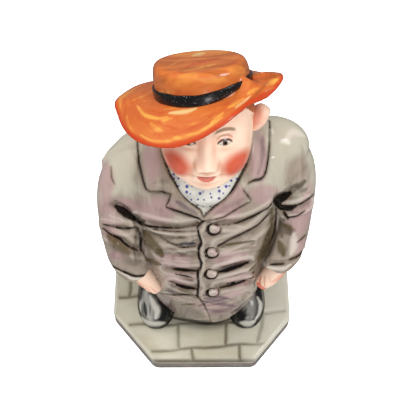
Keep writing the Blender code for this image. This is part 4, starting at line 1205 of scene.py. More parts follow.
def hair_cover(points, soft):
    """1 where hair lies on a unit head: before the ear above it, behind the ear below it."""
    heights, backs = zip(*HAIR_LINE)
    line = np.interp(points[:, 2], heights, backs)
    return 1.0 / (1.0 + np.exp(-(points[:, 1] - line) / soft))


def face_shade(points):
    """Where soft warm shading lies round the features of a unit head."""
    cover = mounds(points, (*SHADE_MIDDLE, *both_sides(SHADE_SIDES)))
    return np.clip(cover, 0.0, 1.0)


def head_mesh():
    """The skull, jaw and features."""
    shape = bmesh.new()
    bmesh.ops.create_uvsphere(shape, u_segments=300, v_segments=230, radius=1.0)
    mesh = mesh_from(shape, "head")
    unit = points_of(mesh)
    relief = face_relief(unit)
    level = np.maximum(np.hypot(unit[:, 0], unit[:, 1]), 0.02)
    fullness = np.where(unit[:, 2] < 0.0, JAW_FULLNESS, 2.1)
    fuller = (1.0 - np.minimum(np.abs(unit[:, 2]), 1.0) ** fullness) ** (1.0 / fullness) / level
    spread = np.where(level > 0.05, np.minimum(fuller, 1.6), 1.0)
    points = unit * np.array(HEAD_HALF)
    points[:, :2] *= spread[:, None]
    place_points(mesh, moved(points + unit * relief[:, None], head_matrix()))
    front = np.clip(-unit[:, 1] * 3.0, 0.0, 1.0)
    away = ((np.abs(unit[:, 0]) - 0.60) / 0.36) ** 2 + ((unit[:, 2] + 0.44) / 0.30) ** 2
    paint(mesh, "rouge", np.clip(1.3 - away, 0.0, 1.0) * front)
    paint(mesh, "shade", face_shade(unit) * front)
    paint(mesh, "face_x", unit[:, 0])
    paint(mesh, "face_z", unit[:, 2])
    paint(mesh, "face_front", front)
    paint(mesh, "hair", hair_cover(unit, 0.02))
    paint(mesh, "strand", 30.0 * np.arctan2(unit[:, 0], unit[:, 1]) + 3.0 * unit[:, 2])
    return mesh


def ear(side):
    """A plain ear with its rim, fold and bowl, leaning in at the lobe."""
    shape = bmesh.new()
    bmesh.ops.create_uvsphere(shape, u_segments=80, v_segments=64, radius=1.0)
    mesh = mesh_from(shape, "ear")
    x, y, z = points_of(mesh).T
    outer = side * x > 0.0
    away = np.hypot(y, z)
    rim = np.exp(-((away - 0.84) / 0.13) ** 2) * (0.45 + 0.55 * np.clip(0.5 + y + 0.4 * z, 0.0, 1.0))
    fold = np.exp(-((np.hypot(y + 0.25, z - 0.05) - 0.52) / 0.12) ** 2) * np.clip(0.6 + 1.5 * y, 0.0, 1.0)
    bowl = np.exp(-((y + 0.22) / 0.30) ** 2 - ((z + 0.02) / 0.36) ** 2)
    dish = outer * (0.9 * bowl + 0.2 * (away < 0.8) - 0.30 * rim - 0.25 * fold)
    taper = 1.0 + 0.24 * z
    points = stacked((x - side * dish) * EAR_HALF[0] * taper, y * EAR_HALF[1] * taper, z * EAR_HALF[2])
    lean = Matrix.Rotation(side * EAR_LEAN, 4, "Y") @ Matrix.Rotation(side * 0.25, 4, "Z")
    place = head_matrix() @ Matrix.Translation((side * EAR_APART, EAR_SET_BACK, EAR_RISE)) @ lean
    place_points(mesh, moved(points, place))
    # A rosy flush, deepened as painted shade in the ear's bowl and on its side towards the head
    paint(mesh, "flush_and_shade", outer * np.clip(0.9 * bowl + 0.5 * (away < 0.72) - 0.6 * fold, 0.0, 1.0)
          + 0.7 * np.clip(-side * x, 0.0, 1.0) + 0.5 * np.clip(-y - 0.3, 0.0, 1.0))
    return mesh


def crown():
    """The crown of the hat: a wall taller at the viewer's left, rounded over into a nearly level top."""
    profile = (
        (0.0, 1.0, -3.0),
        (0.3, 1.0, 0.0),
        (0.46, 1.00, 0.40 * CROWN_HEIGHT),
        (0.58, 0.98, 0.70 * CROWN_HEIGHT),
        (0.68, 0.93, 0.90 * CROWN_HEIGHT),
        (0.78, 0.78, 0.99 * CROWN_HEIGHT),
        (1.0, 0.02, 1.01 * CROWN_HEIGHT),
    )

    def place(u, v):
        share, height = smooth_table(profile, v).T
        turn = 2.0 * math.pi * u
        lift = 1.0 + CROWN_LIFT * (0.5 - 0.5 * share * np.cos(turn)) ** 3
        across = CROWN_HALF_WIDTH * share * np.cos(turn)
        return moved(stacked(across, CROWN_HALF_DEPTH * share * np.sin(turn), height * lift), hat_matrix())

    return mapped_solid(120, 60, place)


def brim():
    """The brim: turned down over the brow, pinched up to a point at the viewer's right."""
    inner = 0.7

    def place(u, v):
        degrees = 360.0 * u - 180.0
        radius, rise = smooth_table(BRIM_STATIONS, degrees, period=360.0).T
        share = np.where(v < 0.5, 2.0 * v, 2.0 * (1.0 - v))
        turn = np.radians(degrees)
        reach_x = CROWN_HALF_WIDTH * inner + (radius - CROWN_HALF_WIDTH * inner) * share
        reach_y = CROWN_HALF_DEPTH * inner + (radius - CROWN_HALF_DEPTH * inner) * share
        half = 0.5 * BRIM_THICKNESS * np.sqrt(np.maximum(0.0, 1.0 - share ** 4))
        ridge = 1.5 * np.exp(-((degrees - 3.0) / 8.0) ** 2) * np.sin(math.pi * np.minimum(1.0, share * 1.1))
        swept = FOLD_RISE * np.exp(-((degrees - FOLD_TURN) / FOLD_SPREAD) ** 2)
        swept *= np.maximum(0.0, 1.0 - share) ** 0.8
        height = rise * share ** 1.6 + ridge + swept + np.where(v < 0.5, half, -half)
        return moved(stacked(reach_x * np.cos(turn), reach_y * np.sin(turn), height), hat_matrix())

    return mapped_solid(360, 80, place)


def hat_mesh():
    """The crown and brim as one, with their own coordinates kept for the paint."""
    mesh = fused([crown(), brim()], HAT_VOXEL, HAT_SOFTENING)
    local = moved(points_of(mesh), hat_matrix().inverted())
    turn = np.arctan2(local[:, 1], local[:, 0])
    across = np.hypot(local[:, 0], local[:, 1])
    radius = smooth_table(BRIM_STATIONS, np.degrees(turn), period=360.0)[:, 0]
    paint(mesh, "hat_x", np.cos(turn))
    paint(mesh, "hat_y", np.sin(turn))
    paint(mesh, "hat_across", across)
    paint(mesh, "hat_height", local[:, 2])
    paint(mesh, "hat_rim", across - radius)
    places = oblique(points_of(mesh))
    seen = seen_from_drawing(mesh)
    kinds = {"yellow": YELLOW_STROKES, "cream": CREAM_STROKES, "red": RED_STROKES, "brown": BROWN_STROKES}
    for name, strokes in kinds.items():
        paint(mesh, name, stroke_cover(places, strokes, soft=True, wider=0.15) * seen)
    return mesh


def band(hat):
    """The ribbon round the crown, with an uneven lower edge."""
    def place(u, v):
        turn = 2.0 * math.pi * u
        around = 2.0 * math.pi * v
        wave = 0.25 * np.sin(5.0 * turn + 0.6) + 0.12 * np.sin(13.0 * turn)
        degrees = 360.0 * (u + 0.5) % 360.0 - 180.0
        taper = np.clip((degrees + 78.0) / 50.0, 0.0, 1.0) * np.clip((8.0 - degrees) / 20.0, 0.0, 1.0)
        middle = 0.5 * BAND_HEIGHT + 0.4 + 0.5 * wave + 1.9 * taper
        half = 0.5 * BAND_HEIGHT - 1.0 * taper
        height = middle + half * np.copysign(np.abs(np.sin(around)) ** 0.5, np.sin(around))
        thick = hat.band_proud / MM * np.copysign(np.abs(np.cos(around)) ** 0.6, np.cos(around)) + 0.02
        x = (CROWN_HALF_WIDTH + thick) * np.cos(turn)
        y = (CROWN_HALF_DEPTH + thick) * np.sin(turn)
        return moved(stacked(x, y, height), hat_matrix())

    return mapped_solid(240, 24, place)


def shoe(centre_x, centre_y, turn):
    """A broad blunt-toed shoe standing a little into the paving, with its sole as a thin ledge."""
    half_width, half_length, upper = SHOE_HALF
    shape = bmesh.new()
    bmesh.ops.create_uvsphere(shape, u_segments=96, v_segments=64, radius=1.0)
    for vert in shape.verts:
        x, y, z = vert.co
        level = math.hypot(x, y)
        blunt = (abs(x) ** SHOE_BLUNTNESS + abs(y) ** SHOE_BLUNTNESS) ** (1.0 / SHOE_BLUNTNESS)
        fuller = level / blunt if level > 0.001 else 1.0
        welt = WELT if z < 0.0 else 0.0
        tread = 0.5 * math.exp(-((y + 0.35) / 0.5) ** 2)
        deep = upper * z ** 0.8 if z > 0.0 else -(SOLE_HEIGHT + FOOTING) * abs(z) ** 0.5
        across = (half_width + tread + welt) * x * fuller
        vert.co = (across, (half_length + welt) * y * fuller, SOLE_HEIGHT + deep)
    turned = Matrix.Rotation(math.radians(turn), 4, "Z")
    shape.transform(Matrix.Translation((centre_x, centre_y, 0.0)) @ turned)
    return shape


def trousers():
    """What stands in the shade under the hem, joined from leg to leg."""
    def place(u, v):
        turn = 2.0 * math.pi * u
        height = -FOOTING + (TROUSER_HEIGHT + FOOTING) * v
        crease = 0.35 * np.cos(14.0 * turn)
        return stacked(1.0 + (TROUSER_HALF_WIDTH + crease) * np.cos(turn),
                       -1.5 + (TROUSER_HALF_DEPTH + crease) * np.sin(turn), height)

    return mapped_solid(180, 24, place)


def button(tree, x, rise, coat):
    """A low round button with a raised rim, square to the front of the coat."""
    up_drawing = Vector((0.0, math.sin(VIEW), math.cos(VIEW)))
    into_drawing = Vector((0.0, math.cos(VIEW), -math.sin(VIEW)))
    eye = Vector((x, 0.0, 0.0)) + rise * up_drawing - 150.0 * into_drawing
    point, normal = tree.ray_cast(eye, into_drawing)[:2]
    radius = coat.button_radius / MM
    height = coat.button_height / MM
    outline = ((1.0, -0.8), (1.0, 0.35), (0.93, 0.75), (0.80, 0.92), (0.66, 0.80), (0.50, 0.66), (0.0, 0.72))
    shape = bmesh.new()
    verts = [shape.verts.new((radius * r, 0.0, height * z)) for r, z in outline]
    edges = [shape.edges.new(pair) for pair in zip(verts[:-1], verts[1:])]
    bmesh.ops.spin(shape, geom=verts + edges, cent=(0, 0, 0), axis=(0, 0, 1), angle=2.0 * math.pi, steps=48,
                   use_merge=True)
    bmesh.ops.remove_doubles(shape, verts=shape.verts, dist=0.001)
    bmesh.ops.holes_fill(shape, edges=[edge for edge in shape.edges if edge.is_boundary])
    bmesh.ops.recalc_face_normals(shape, faces=shape.faces)
    shape.transform(Matrix.Translation(point) @ normal.to_track_quat("Z", "Y").to_matrix().to_4x4())
    return shape


def button_paint(mesh, coat):
    """A ring of ink on each button, thickened at its lower left into a painted shadow, with painted shade
    towards that side.
    """
    places = oblique(points_of(mesh))
    ring = np.zeros(len(places))
    shade = np.zeros(len(places))
    for x, rise in BUTTONS:
        across = places[:, 0] - x
        up = (places[:, 1] - rise) * 1.1
        away = np.hypot(across, up) / (coat.button_radius / MM)
        shadow_side = np.clip(0.55 - 0.45 * (across + up) / np.maximum(np.hypot(across, up), 0.1), 0.1, 1.0)
        near = away < 1.6
        line = np.clip(1.5 - np.abs(away - 0.93) / (0.05 + 0.18 * shadow_side), 0.0, 1.0)
        ring = np.where(near, (0.6 + 0.4 * shadow_side) * line, ring)
        shade = np.where(near, np.clip(away * shadow_side, 0.0, 1.0), shade)
    paint(mesh, "ring", ring)
    paint(mesh, "shade", shade)


def outward_normals(corners):
    """The side after each corner of an outline, as the unit direction that points out of it."""
    sides = np.roll(corners, -1, axis=0) - corners
    return np.column_stack((sides[:, 1], -sides[:, 0])) / np.linalg.norm(sides, axis=1)[:, None]


def canted_outline(inset):
    """The eight corners of the base, drawn in by the same amount on every side."""
    w, d = BASE_WIDTH / 2.0, BASE_DEPTH / 2.0
    a, b = CANT_ACROSS, CANT_ALONG
    corners = np.array([
        (w, RIGHT_CANT_ALONG - d), (w, d - b), (w - a, d), (a - w, d),
        (-w, d - b), (-w, b - d), (a - w, -d), (w - RIGHT_CANT_ACROSS, -d)])
    normals = outward_normals(corners)
    before = np.roll(normals, 1, axis=0)
    mitre = (normals + before) / (1.0 + np.sum(normals * before, axis=1))[:, None]
    return corners - inset * mitre


def rounded_outline(inset, shares):
    """Points at shares of the way round the base's outline, its corners rounded over."""
    corners = canted_outline(inset)
    lengths = np.linalg.norm(np.roll(corners, -1, axis=0) - corners, axis=1)
    starts = np.concatenate(([0.0], np.cumsum(lengths))) / lengths.sum()
    closed = np.vstack((corners, corners[:1]))
    steps = np.linspace(-0.5, 0.5, 21) * CORNER_ROUNDING / lengths.sum()
    spread = (shares[:, None] + steps) % 1.0
    return stacked(np.interp(spread, starts, closed[:, 0]).mean(axis=1),
                   np.interp(spread, starts, closed[:, 1]).mean(axis=1))


def paved_base(base):
    """The canted base from the middle of its paving out, over the arris, down the side and under."""
    arris = base.arris / MM
    path = [(arris, 0.0, share) for share in np.linspace(0.02, 1.0, 92)]
    for a in np.linspace(0.2, math.pi / 2, 7):
        path.append((arris * (1.0 - math.sin(a)), -arris * (1.0 - math.cos(a)), 1.0))
    path += [(0.0, z, 1.0) for z in np.linspace(-arris - 0.5, 0.5 - BASE_THICKNESS, 7)]
    path += [(0.15, 0.15 - BASE_THICKNESS, 1.0), (0.5, -BASE_THICKNESS, 1.0), (0.5, -BASE_THICKNESS, 0.6),
             (0.5, -BASE_THICKNESS, 0.02)]

    def place(u, v):
        row = np.rint(v * (len(path) - 1)).astype(int)
        points = np.empty((len(u), 3))
        for step, (inset, height, share) in enumerate(path):
            here = row == step
            points[here, :2] = share * rounded_outline(inset, u[here])
            points[here, 2] = height
        return points

    return mapped_solid(704, len(path) - 1, place)


def joint_reach(points):
    """Distance from each point of the paving to the nearest joint, with a hand's unevenness."""
    x = points[:, 0] + 0.25 * np.sin(0.41 * points[:, 1] + 0.7) + 0.04 * np.sin(1.3 * points[:, 1])
    y = points[:, 1] + 0.25 * np.sin(0.37 * points[:, 0]) + 0.04 * np.sin(1.1 * points[:, 0] + 1.0)
    places = np.column_stack((x, y))
    size = np.array((BASE_WIDTH, BASE_DEPTH))
    best = np.full(len(points), 1e9)
    for x0, y0, x1, y1 in JOINTS:
        best = np.minimum(best, line_reach(places, [np.array((x0, y0)) * size, np.array((x1, y1)) * size])[0])
    return best


def rim_reach(points):
    """Distance from each point of the base in from its canted outline."""
    corners = canted_outline(0.0)
    pairs = zip(corners, outward_normals(corners))
    return np.min([(corner - points[:, :2]) @ normal for corner, normal in pairs], axis=0)


def paved_mesh(base):
    """The base with its joints pressed in and its stones a little domed."""
    mesh = mesh_from(paved_base(base), "paved_base")
    points = points_of(mesh)
    away = joint_reach(points)
    rim = rim_reach(points)
    # Along the front the joints run on until the arris
    border = JOINT_BORDER - FRONT_RUN_ON * np.clip(FRONT_STRIP - points[:, 1], 0.0, 1.0)
    kept = np.clip((rim - border + 0.3) / 0.6, 0.0, 1.0) * (points[:, 2] > -0.5)
    half = 0.5 * base.joint_width / MM
    groove = base.joint_depth / MM * np.exp(-(away / half) ** 2)
    dome = STONE_DOME * np.exp(-away / 1.3)
    points[:, 2] -= kept * (groove + dome)
    place_points(mesh, points)
    paint(mesh, "joint", kept * np.exp(-(away / half) ** 2))
    # Darker close to the joints
    paint(mesh, "near_joint", kept * np.exp(-away / 1.2))
    paint(mesh, "drop", -points[:, 2])
    paint(mesh, "rim", rim)
    # Darker towards the left: painted shade
    paint(mesh, "wash", np.clip((-14.0 - points[:, 0]) / 16.0, 0.0, 0.7))
    paint(mesh, "front", np.clip(-33.4 - points[:, 1], 0.0, 1.0))
    # Lighter towards the right of the paving: painted light
    paint(mesh, "glow", np.clip((points[:, 0] - 14.0) / 12.0, 0.0, 1.0) * (points[:, 2] > -1.0))
    # The painted shadow under the hem
    paint(mesh, "hem", stroke_cover(oblique(points), HEM_SHADOW_STROKES, soft=True) * (points[:, 2] > -1.0))
    return mesh


def toned(tint, share):
    """A colour made darker or paler."""
    return tuple(min(1.0, share * value) for value in tint)


class Value:
    """A number that varies over a surface. Arithmetic on it adds Math nodes."""

    def __init__(self, glaze, socket):
        self.glaze = glaze
        self.socket = socket

    def math(self, operation, *others):
        inputs = dict(enumerate((self, *others)))
        node = self.glaze.add("ShaderNodeMath", {"operation": operation}, inputs)
        return Value(self.glaze, node.outputs[0])

    def __add__(self, other):
        return self.math("ADD", other)

    __radd__ = __add__

    def __sub__(self, other):
        return self.math("SUBTRACT", other)

    def __rsub__(self, other):
        node = self.glaze.add("ShaderNodeMath", {"operation": "SUBTRACT"}, {0: other, 1: self})
        return Value(self.glaze, node.outputs[0])

    def __mul__(self, other):
        return self.math("MULTIPLY", other)

    __rmul__ = __mul__

    def __truediv__(self, other):
        return self.math("DIVIDE", other)

    def __pow__(self, other):
        return self.math("POWER", other)

    def __abs__(self):
        return self.math("ABSOLUTE")

    def larger(self, other):
        return self.math("MAXIMUM", other)

    def ramp(self, low, high):
        """0 at low, 1 at high, with a soft start and end."""
        node = self.glaze.add("ShaderNodeMapRange", {"interpolation_type": "SMOOTHSTEP"},
                              {0: self, 1: low, 2: high, 3: 0.0, 4: 1.0})
        return Value(self.glaze, node.outputs[0])


class Glaze:
    """A painted and glazed surface, built node by node."""

    def __init__(self, name, roughness=0.16, coat=0.4, coat_roughness=0.05, specular=0.5):
        self.material = bpy.data.materials.new(name)
        self.material.use_nodes = True
        self.tree = self.material.node_tree
        self.shader = self.tree.nodes["Principled BSDF"]
        self.shader.inputs["Roughness"].default_value = roughness
        self.shader.inputs["Specular IOR Level"].default_value = specular
        self.shader.inputs["Coat Weight"].default_value = coat
        self.shader.inputs["Coat Roughness"].default_value = coat_roughness
        self.place = self.add("ShaderNodeTexCoord").outputs["Object"]

    def add(self, kind, settings=None, inputs=None):
        """A node of a type, with its settings and the values or links of its sockets."""
        node = self.tree.nodes.new(kind)
        for key, value in (settings or {}).items():
            setattr(node, key, value)
        for key, value in (inputs or {}).items():
            if isinstance(value, Value):
                value = value.socket
            if isinstance(value, bpy.types.NodeSocket):
                self.tree.links.new(value, node.inputs[key])
            else:
                node.inputs[key].default_value = value
        return node

    def mark(self, name):
        """A number painted on the mesh."""
        node = self.add("ShaderNodeAttribute", {"attribute_name": name})
        return Value(self, node.outputs["Fac"])

    def joined(self, x, y, z):
        return self.add("ShaderNodeCombineXYZ", None, {0: x, 1: y, 2: z}).outputs[0]

    def stretched(self, scale, turn=(0.0, 0.0, 0.0)):
        """Object coordinates, turned and scaled."""
        node = self.add("ShaderNodeMapping", None, {"Vector": self.place, "Rotation": turn, "Scale": scale})
        return node.outputs[0]

    def noise(self, scale, detail, roughness=0.55, vector=None, distortion=0.0):
        node = self.add("ShaderNodeTexNoise", None, {
            "Vector": vector or self.place, "Scale": scale, "Detail": detail, "Roughness": roughness,
            "Distortion": distortion})
        return Value(self, node.outputs["Fac"])

    def mix(self, factor, under, over):
        """One colour laid over another."""
        node = self.add("ShaderNodeMix", {"data_type": "RGBA"}, {0: factor})
        for index, tint in ((6, under), (7, over)):
            if isinstance(tint, bpy.types.NodeSocket):
                self.tree.links.new(tint, node.inputs[index])
            else:
                node.inputs[index].default_value = (*tint, 1.0)
        return node.outputs[2]

    def finish(self, tint, bump=None, strength=0.1, coat=None):
        """Links the colour and, where they vary, the fine relief and the clear coat."""
        self.tree.links.new(tint, self.shader.inputs["Base Color"])
        if coat is not None:
            self.tree.links.new(coat.socket, self.shader.inputs["Coat Weight"])
        if bump is not None:
            inputs = {"Strength": strength, "Distance": BUMP_DISTANCE, "Height": bump}
            relief = self.add("ShaderNodeBump", None, inputs)
            self.tree.links.new(relief.outputs["Normal"], self.shader.inputs["Normal"])
        return self.material


def painted_coat(coat, head):
    """Grey-green, umber and mauve laid wet in wet, with dark lines and strokes, painted shade round the folds
    and low down, and painted highlights on the crests, under a clear glaze.
    """
    glaze = Glaze("Painted coat", roughness=0.25, specular=0.2)
    across = glaze.noise(1.0, 5.0, 0.62, glaze.stretched((65.0, 360.0, 360.0)), 0.7)
    upright = glaze.noise(1.0, 5.0, 0.62, glaze.stretched((330.0, 110.0, 60.0)), 0.7)
    body = glaze.mark("body")
    strokes = across * body + upright * (1.0 - body)
    clouds = glaze.noise(95.0, 3.0, 0.5)
    # Umber lower down: the coat's own paint and painted shade
    low = (glaze.mark("low") + 0.7 * (clouds - 0.5) + 0.5 * (strokes - 0.5)).ramp(0.1, 0.9)
    tint = glaze.mix(low * 0.9, coat.grey, coat.umber)
    brushed = (0.55 + 0.45 * body) * (strokes - 0.5)
    wet = glaze.mark("mauve") + 0.9 * (clouds - 0.5) + 0.8 * brushed
    tint = glaze.mix(wet.ramp(0.25, 0.9) * 0.8, tint, coat.mauve)
    tint = glaze.mix((-0.01 - brushed).ramp(0.0, 0.16) * (0.12 + 0.22 * low), tint, coat.pale)
    tint = glaze.mix((brushed - 0.01).ramp(0.0, 0.16) * (0.16 + 0.30 * low), tint, coat.shadow)
    # Pale bands and painted highlights laid over the ground
    pale = glaze.mark("pale") * (0.6 + 0.8 * strokes)
    shade = glaze.mark("shade") * (0.35 + 1.3 * strokes)
    tint = glaze.mix(shade.ramp(0.08, 1.05) * 0.76, tint, coat.shadow)
    tint = glaze.mix(pale.ramp(0.1, 0.9) * 0.75, tint, coat.pale)
    plum = glaze.mark("plum") * (0.4 + 1.2 * strokes)
    tint = glaze.mix(plum.ramp(0.15, 1.0) * 0.8, tint, coat.plum)
    olive = glaze.mark("olive") * (0.35 + 1.3 * strokes)
    tint = glaze.mix(olive.ramp(0.15, 0.9) * 0.85, tint, coat.olive)
    blue = glaze.mark("blue") * (0.4 + 1.2 * strokes)
    tint = glaze.mix(blue.ramp(0.15, 0.9) * 0.9, tint, coat.blue)
    line = glaze.mark("ink")
    ink = line + 0.2 * (glaze.noise(900.0, 2.0) - 0.5) + 0.35 * (strokes - 0.5)
    tint = glaze.mix(line.ramp(0.1, 0.55) * 0.5, tint, coat.halo)
    tint = glaze.mix(ink.ramp(0.41, 0.57) * 0.98, tint, coat.ink)
    cloth = glaze.mark("cloth").ramp(0.3, 0.7) * (1.0 - line.ramp(0.3, 0.55))
    tint = glaze.mix(cloth, tint, dotted(glaze, head))
    relief = glaze.noise(420.0, 2.0) + 0.6 * strokes - line
    return glaze.finish(tint, bump=relief, strength=0.12, coat=0.5 - 0.42 * line.ramp(0.3, 0.55))


def painted_button(coat):
    """The coat's own colours, ringed with ink that thickens at one side into a painted shadow, with olive
    painted shade towards that side.
    """
    glaze = Glaze("Painted button", roughness=0.25, specular=0.2)
    clouds = glaze.noise(300.0, 3.0)
    pale = toned(coat.pale, 0.85)
    tint = glaze.mix(clouds.ramp(0.3, 0.8), pale, coat.mauve)
    ring = glaze.mark("ring") + 0.3 * (glaze.noise(900.0, 2.0) - 0.5)
    # Olive painted shade towards the button's shadowed side
    tint = glaze.mix(glaze.mark("shade") * 0.45, tint, coat.olive)
    tint = glaze.mix(ring.ramp(0.05, 0.5) * 0.8, tint, coat.halo)
    tint = glaze.mix(ring.ramp(0.2, 0.8) * 0.97, tint, coat.ink)
    clear = 0.5 - 0.42 * ring.ramp(0.1, 0.7)
    return glaze.finish(tint, bump=glaze.noise(600.0, 2.0), strength=0.05, coat=clear)


def painted_head(head):
    """Skin with rouge, brows, lids and lips laid on by the head's own coordinates."""
    glaze = Glaze("Painted head", coat=0.3)
    x = abs(glaze.mark("face_x"))
    z = glaze.mark("face_z")
    front = glaze.mark("face_front")
    clouds = glaze.noise(160.0, 3.0)
    pale = toned(head.skin, 1.12)
    tint = glaze.mix(clouds.ramp(0.3, 0.7), head.skin, pale)
    rouge = (glaze.mark("rouge") + 0.4 * (clouds - 0.5)).ramp(0.05, 1.1)
    tint = glaze.mix(rouge * 0.95, tint, head.blush)
    tint = glaze.mix(glaze.mark("shade") * 0.85, tint, head.shade)
    eye_x = (x - EYE_APART) / EYE_HALF_WIDTH
    curve = 1.0 - eye_x * eye_x
    lid_x = (x - EYE_APART) / 0.21
    lid = (1.0 - lid_x * lid_x - ((z - 0.055) / 0.085) ** 2.0).ramp(0.0, 0.9)
    tint = glaze.mix(lid * 0.35 * front, tint, head.blush)
    top = z - EYE_LEVEL - EYE_HALF_HEIGHT * curve
    foot = z - EYE_LEVEL + 0.8 * EYE_HALF_HEIGHT * curve
    opening = (0.0 - top).ramp(-0.006, 0.006) * foot.ramp(-0.006, 0.006) * curve.ramp(0.0, 0.1) * front
    away = ((x - EYE_APART) ** 2.0 + ((z - EYE_LEVEL + 0.006) * 1.15) ** 2.0) ** 0.5
    tint = glaze.mix(opening * 0.9, tint, (0.62, 0.56, 0.50))
    tint = glaze.mix((0.054 - away).ramp(-0.006, 0.008) * opening, tint, (0.09, 0.055, 0.032))
    tint = glaze.mix((0.028 - away).ramp(-0.006, 0.008) * opening, tint, (0.008, 0.007, 0.006))
    ends = (1.15 - abs(eye_x)).ramp(0.0, 0.2) * front
    lash = (0.019 - abs(top)).ramp(-0.008, 0.008) * ends
    tint = glaze.mix(lash * 0.9, tint, toned(head.brow, 0.35))
    under = (0.008 - abs(foot)).ramp(-0.006, 0.006) * ends
    tint = glaze.mix(under * 0.5, tint, head.brow)
    crease = (0.010 - abs(z - EYE_LEVEL - 0.075 - 0.045 * curve)).ramp(-0.012, 0.010)
    crease = crease * (1.3 - abs(eye_x)).ramp(0.0, 0.3)
    tint = glaze.mix(crease * front * 0.55, tint, head.brow)
    brow_x = (x - 0.37) / 0.24
    bristle = glaze.noise(1.0, 3.0, 0.6, glaze.joined(x * 90.0, z * 60.0, 0.0))
    brow_line = abs(z - BROW_RISE + 0.065 * brow_x * brow_x)
    brow = (0.026 + 0.02 * (bristle - 0.5) - brow_line).ramp(-0.016, 0.012)
    brow = brow * (1.05 - abs(brow_x)).ramp(0.0, 0.4) * front
    tint = glaze.mix(brow * 0.75, tint, head.brow)
    mouth_x = x / 0.23
    level = z - MOUTH_RISE - 0.012 * mouth_x * mouth_x
    bow = 0.045 - 0.016 * (1.0 - x / 0.06).ramp(0.0, 1.0)
    upper = ((1.0 - mouth_x * mouth_x) * bow - level).ramp(-0.008, 0.012) * level.ramp(-0.02, 0.0)
    lower = ((1.0 - mouth_x * mouth_x * 1.25) * 0.075 + level).ramp(-0.012, 0.02)
    lower = lower * (0.0 - level).ramp(-0.02, 0.0)
    lips = upper.larger(lower) * (1.05 - mouth_x).ramp(0.0, 0.15) * front
    tint = glaze.mix(lips * 0.8, tint, head.lips)
    closed = (0.007 - abs(level)).ramp(-0.010, 0.006) * (1.12 - mouth_x).ramp(0.0, 0.2) * front
    tint = glaze.mix(closed * 0.85, tint, toned(head.lips, 0.3))
    strand = glaze.noise(1.0, 3.0, 0.6, glaze.joined(glaze.mark("strand"), z * 3.0, 0.0))
    dark_hair = toned(head.hair, 0.45)
    hair = glaze.mix(strand.ramp(0.35, 0.65), head.hair, dark_hair)
    edge = (glaze.mark("hair") + 0.5 * (strand - 0.5)).ramp(0.4, 0.6)
    tint = glaze.mix(edge, tint, hair)
    return glaze.finish(tint, bump=glaze.noise(420.0, 2.0), strength=0.04)


def painted_skin(head):
    glaze = Glaze("Painted hands", coat=0.3)
    clouds = glaze.noise(220.0, 3.0)
    tint = glaze.mix((clouds - 0.1).ramp(0.3, 0.6) * 0.15, head.skin, head.shade)
    # Rosy flush and painted shade in the creases and hollows
    flush_and_shade = glaze.mark("flush_and_shade") * (0.6 + 0.8 * clouds)
    tint = glaze.mix(flush_and_shade.ramp(0.05, 1.0) * 0.8, tint, head.blush)
    return glaze.finish(tint, bump=glaze.noise(420.0, 2.0) - glaze.mark("flush_and_shade"), strength=0.08)


def dotted(glaze, head):
    """Cream with small uneven dots, blue at the throat, smaller towards the foot, and greyer and darker there
    as painted shade.
    """
    flat = glaze.joined(glaze.mark("across"), glaze.mark("rise"), 0.0)
    dots = glaze.add("ShaderNodeTexVoronoi", {"feature": "F1", "voronoi_dimensions": "2D"},
                     {"Vector": flat, "Scale": 0.54, "Randomness": 0.6})
    size = Value(glaze, glaze.add("ShaderNodeSeparateColor", None, {0: dots.outputs["Color"]}).outputs[0])
    away = Value(glaze, dots.outputs["Distance"]) + 0.10 * (glaze.noise(2600.0, 1.0) - 0.5)
    foot = glaze.mark("foot")
    spot = (0.12 + 0.13 * size - 0.03 * foot - away).ramp(-0.05, 0.05)
    clouds = glaze.noise(300.0, 3.0)
    grey = toned(head.cloth, 0.66)
    ground = glaze.mix((clouds - 0.1).ramp(0.35, 0.6) * 0.7, head.cloth, grey)
    # Darker and greyer towards the foot of the opening: painted shade
    ground = glaze.mix((foot * 1.2 + 0.5 * (clouds - 0.5)).ramp(0.4, 1.3) * 0.7, ground, (0.30, 0.27, 0.17))
    blue = glaze.mix((foot * 1.3 + 0.4 * (size - 0.5)).ramp(0.1, 0.9) * 0.85, head.dots, (0.10, 0.10, 0.12))
    return glaze.mix(spot * 0.92, ground, blue)


def dotted_cloth(head):
    glaze = Glaze("Dotted neckcloth", coat=0.2)
    return glaze.finish(dotted(glaze, head), bump=glaze.noise(420.0, 2.0), strength=0.05)


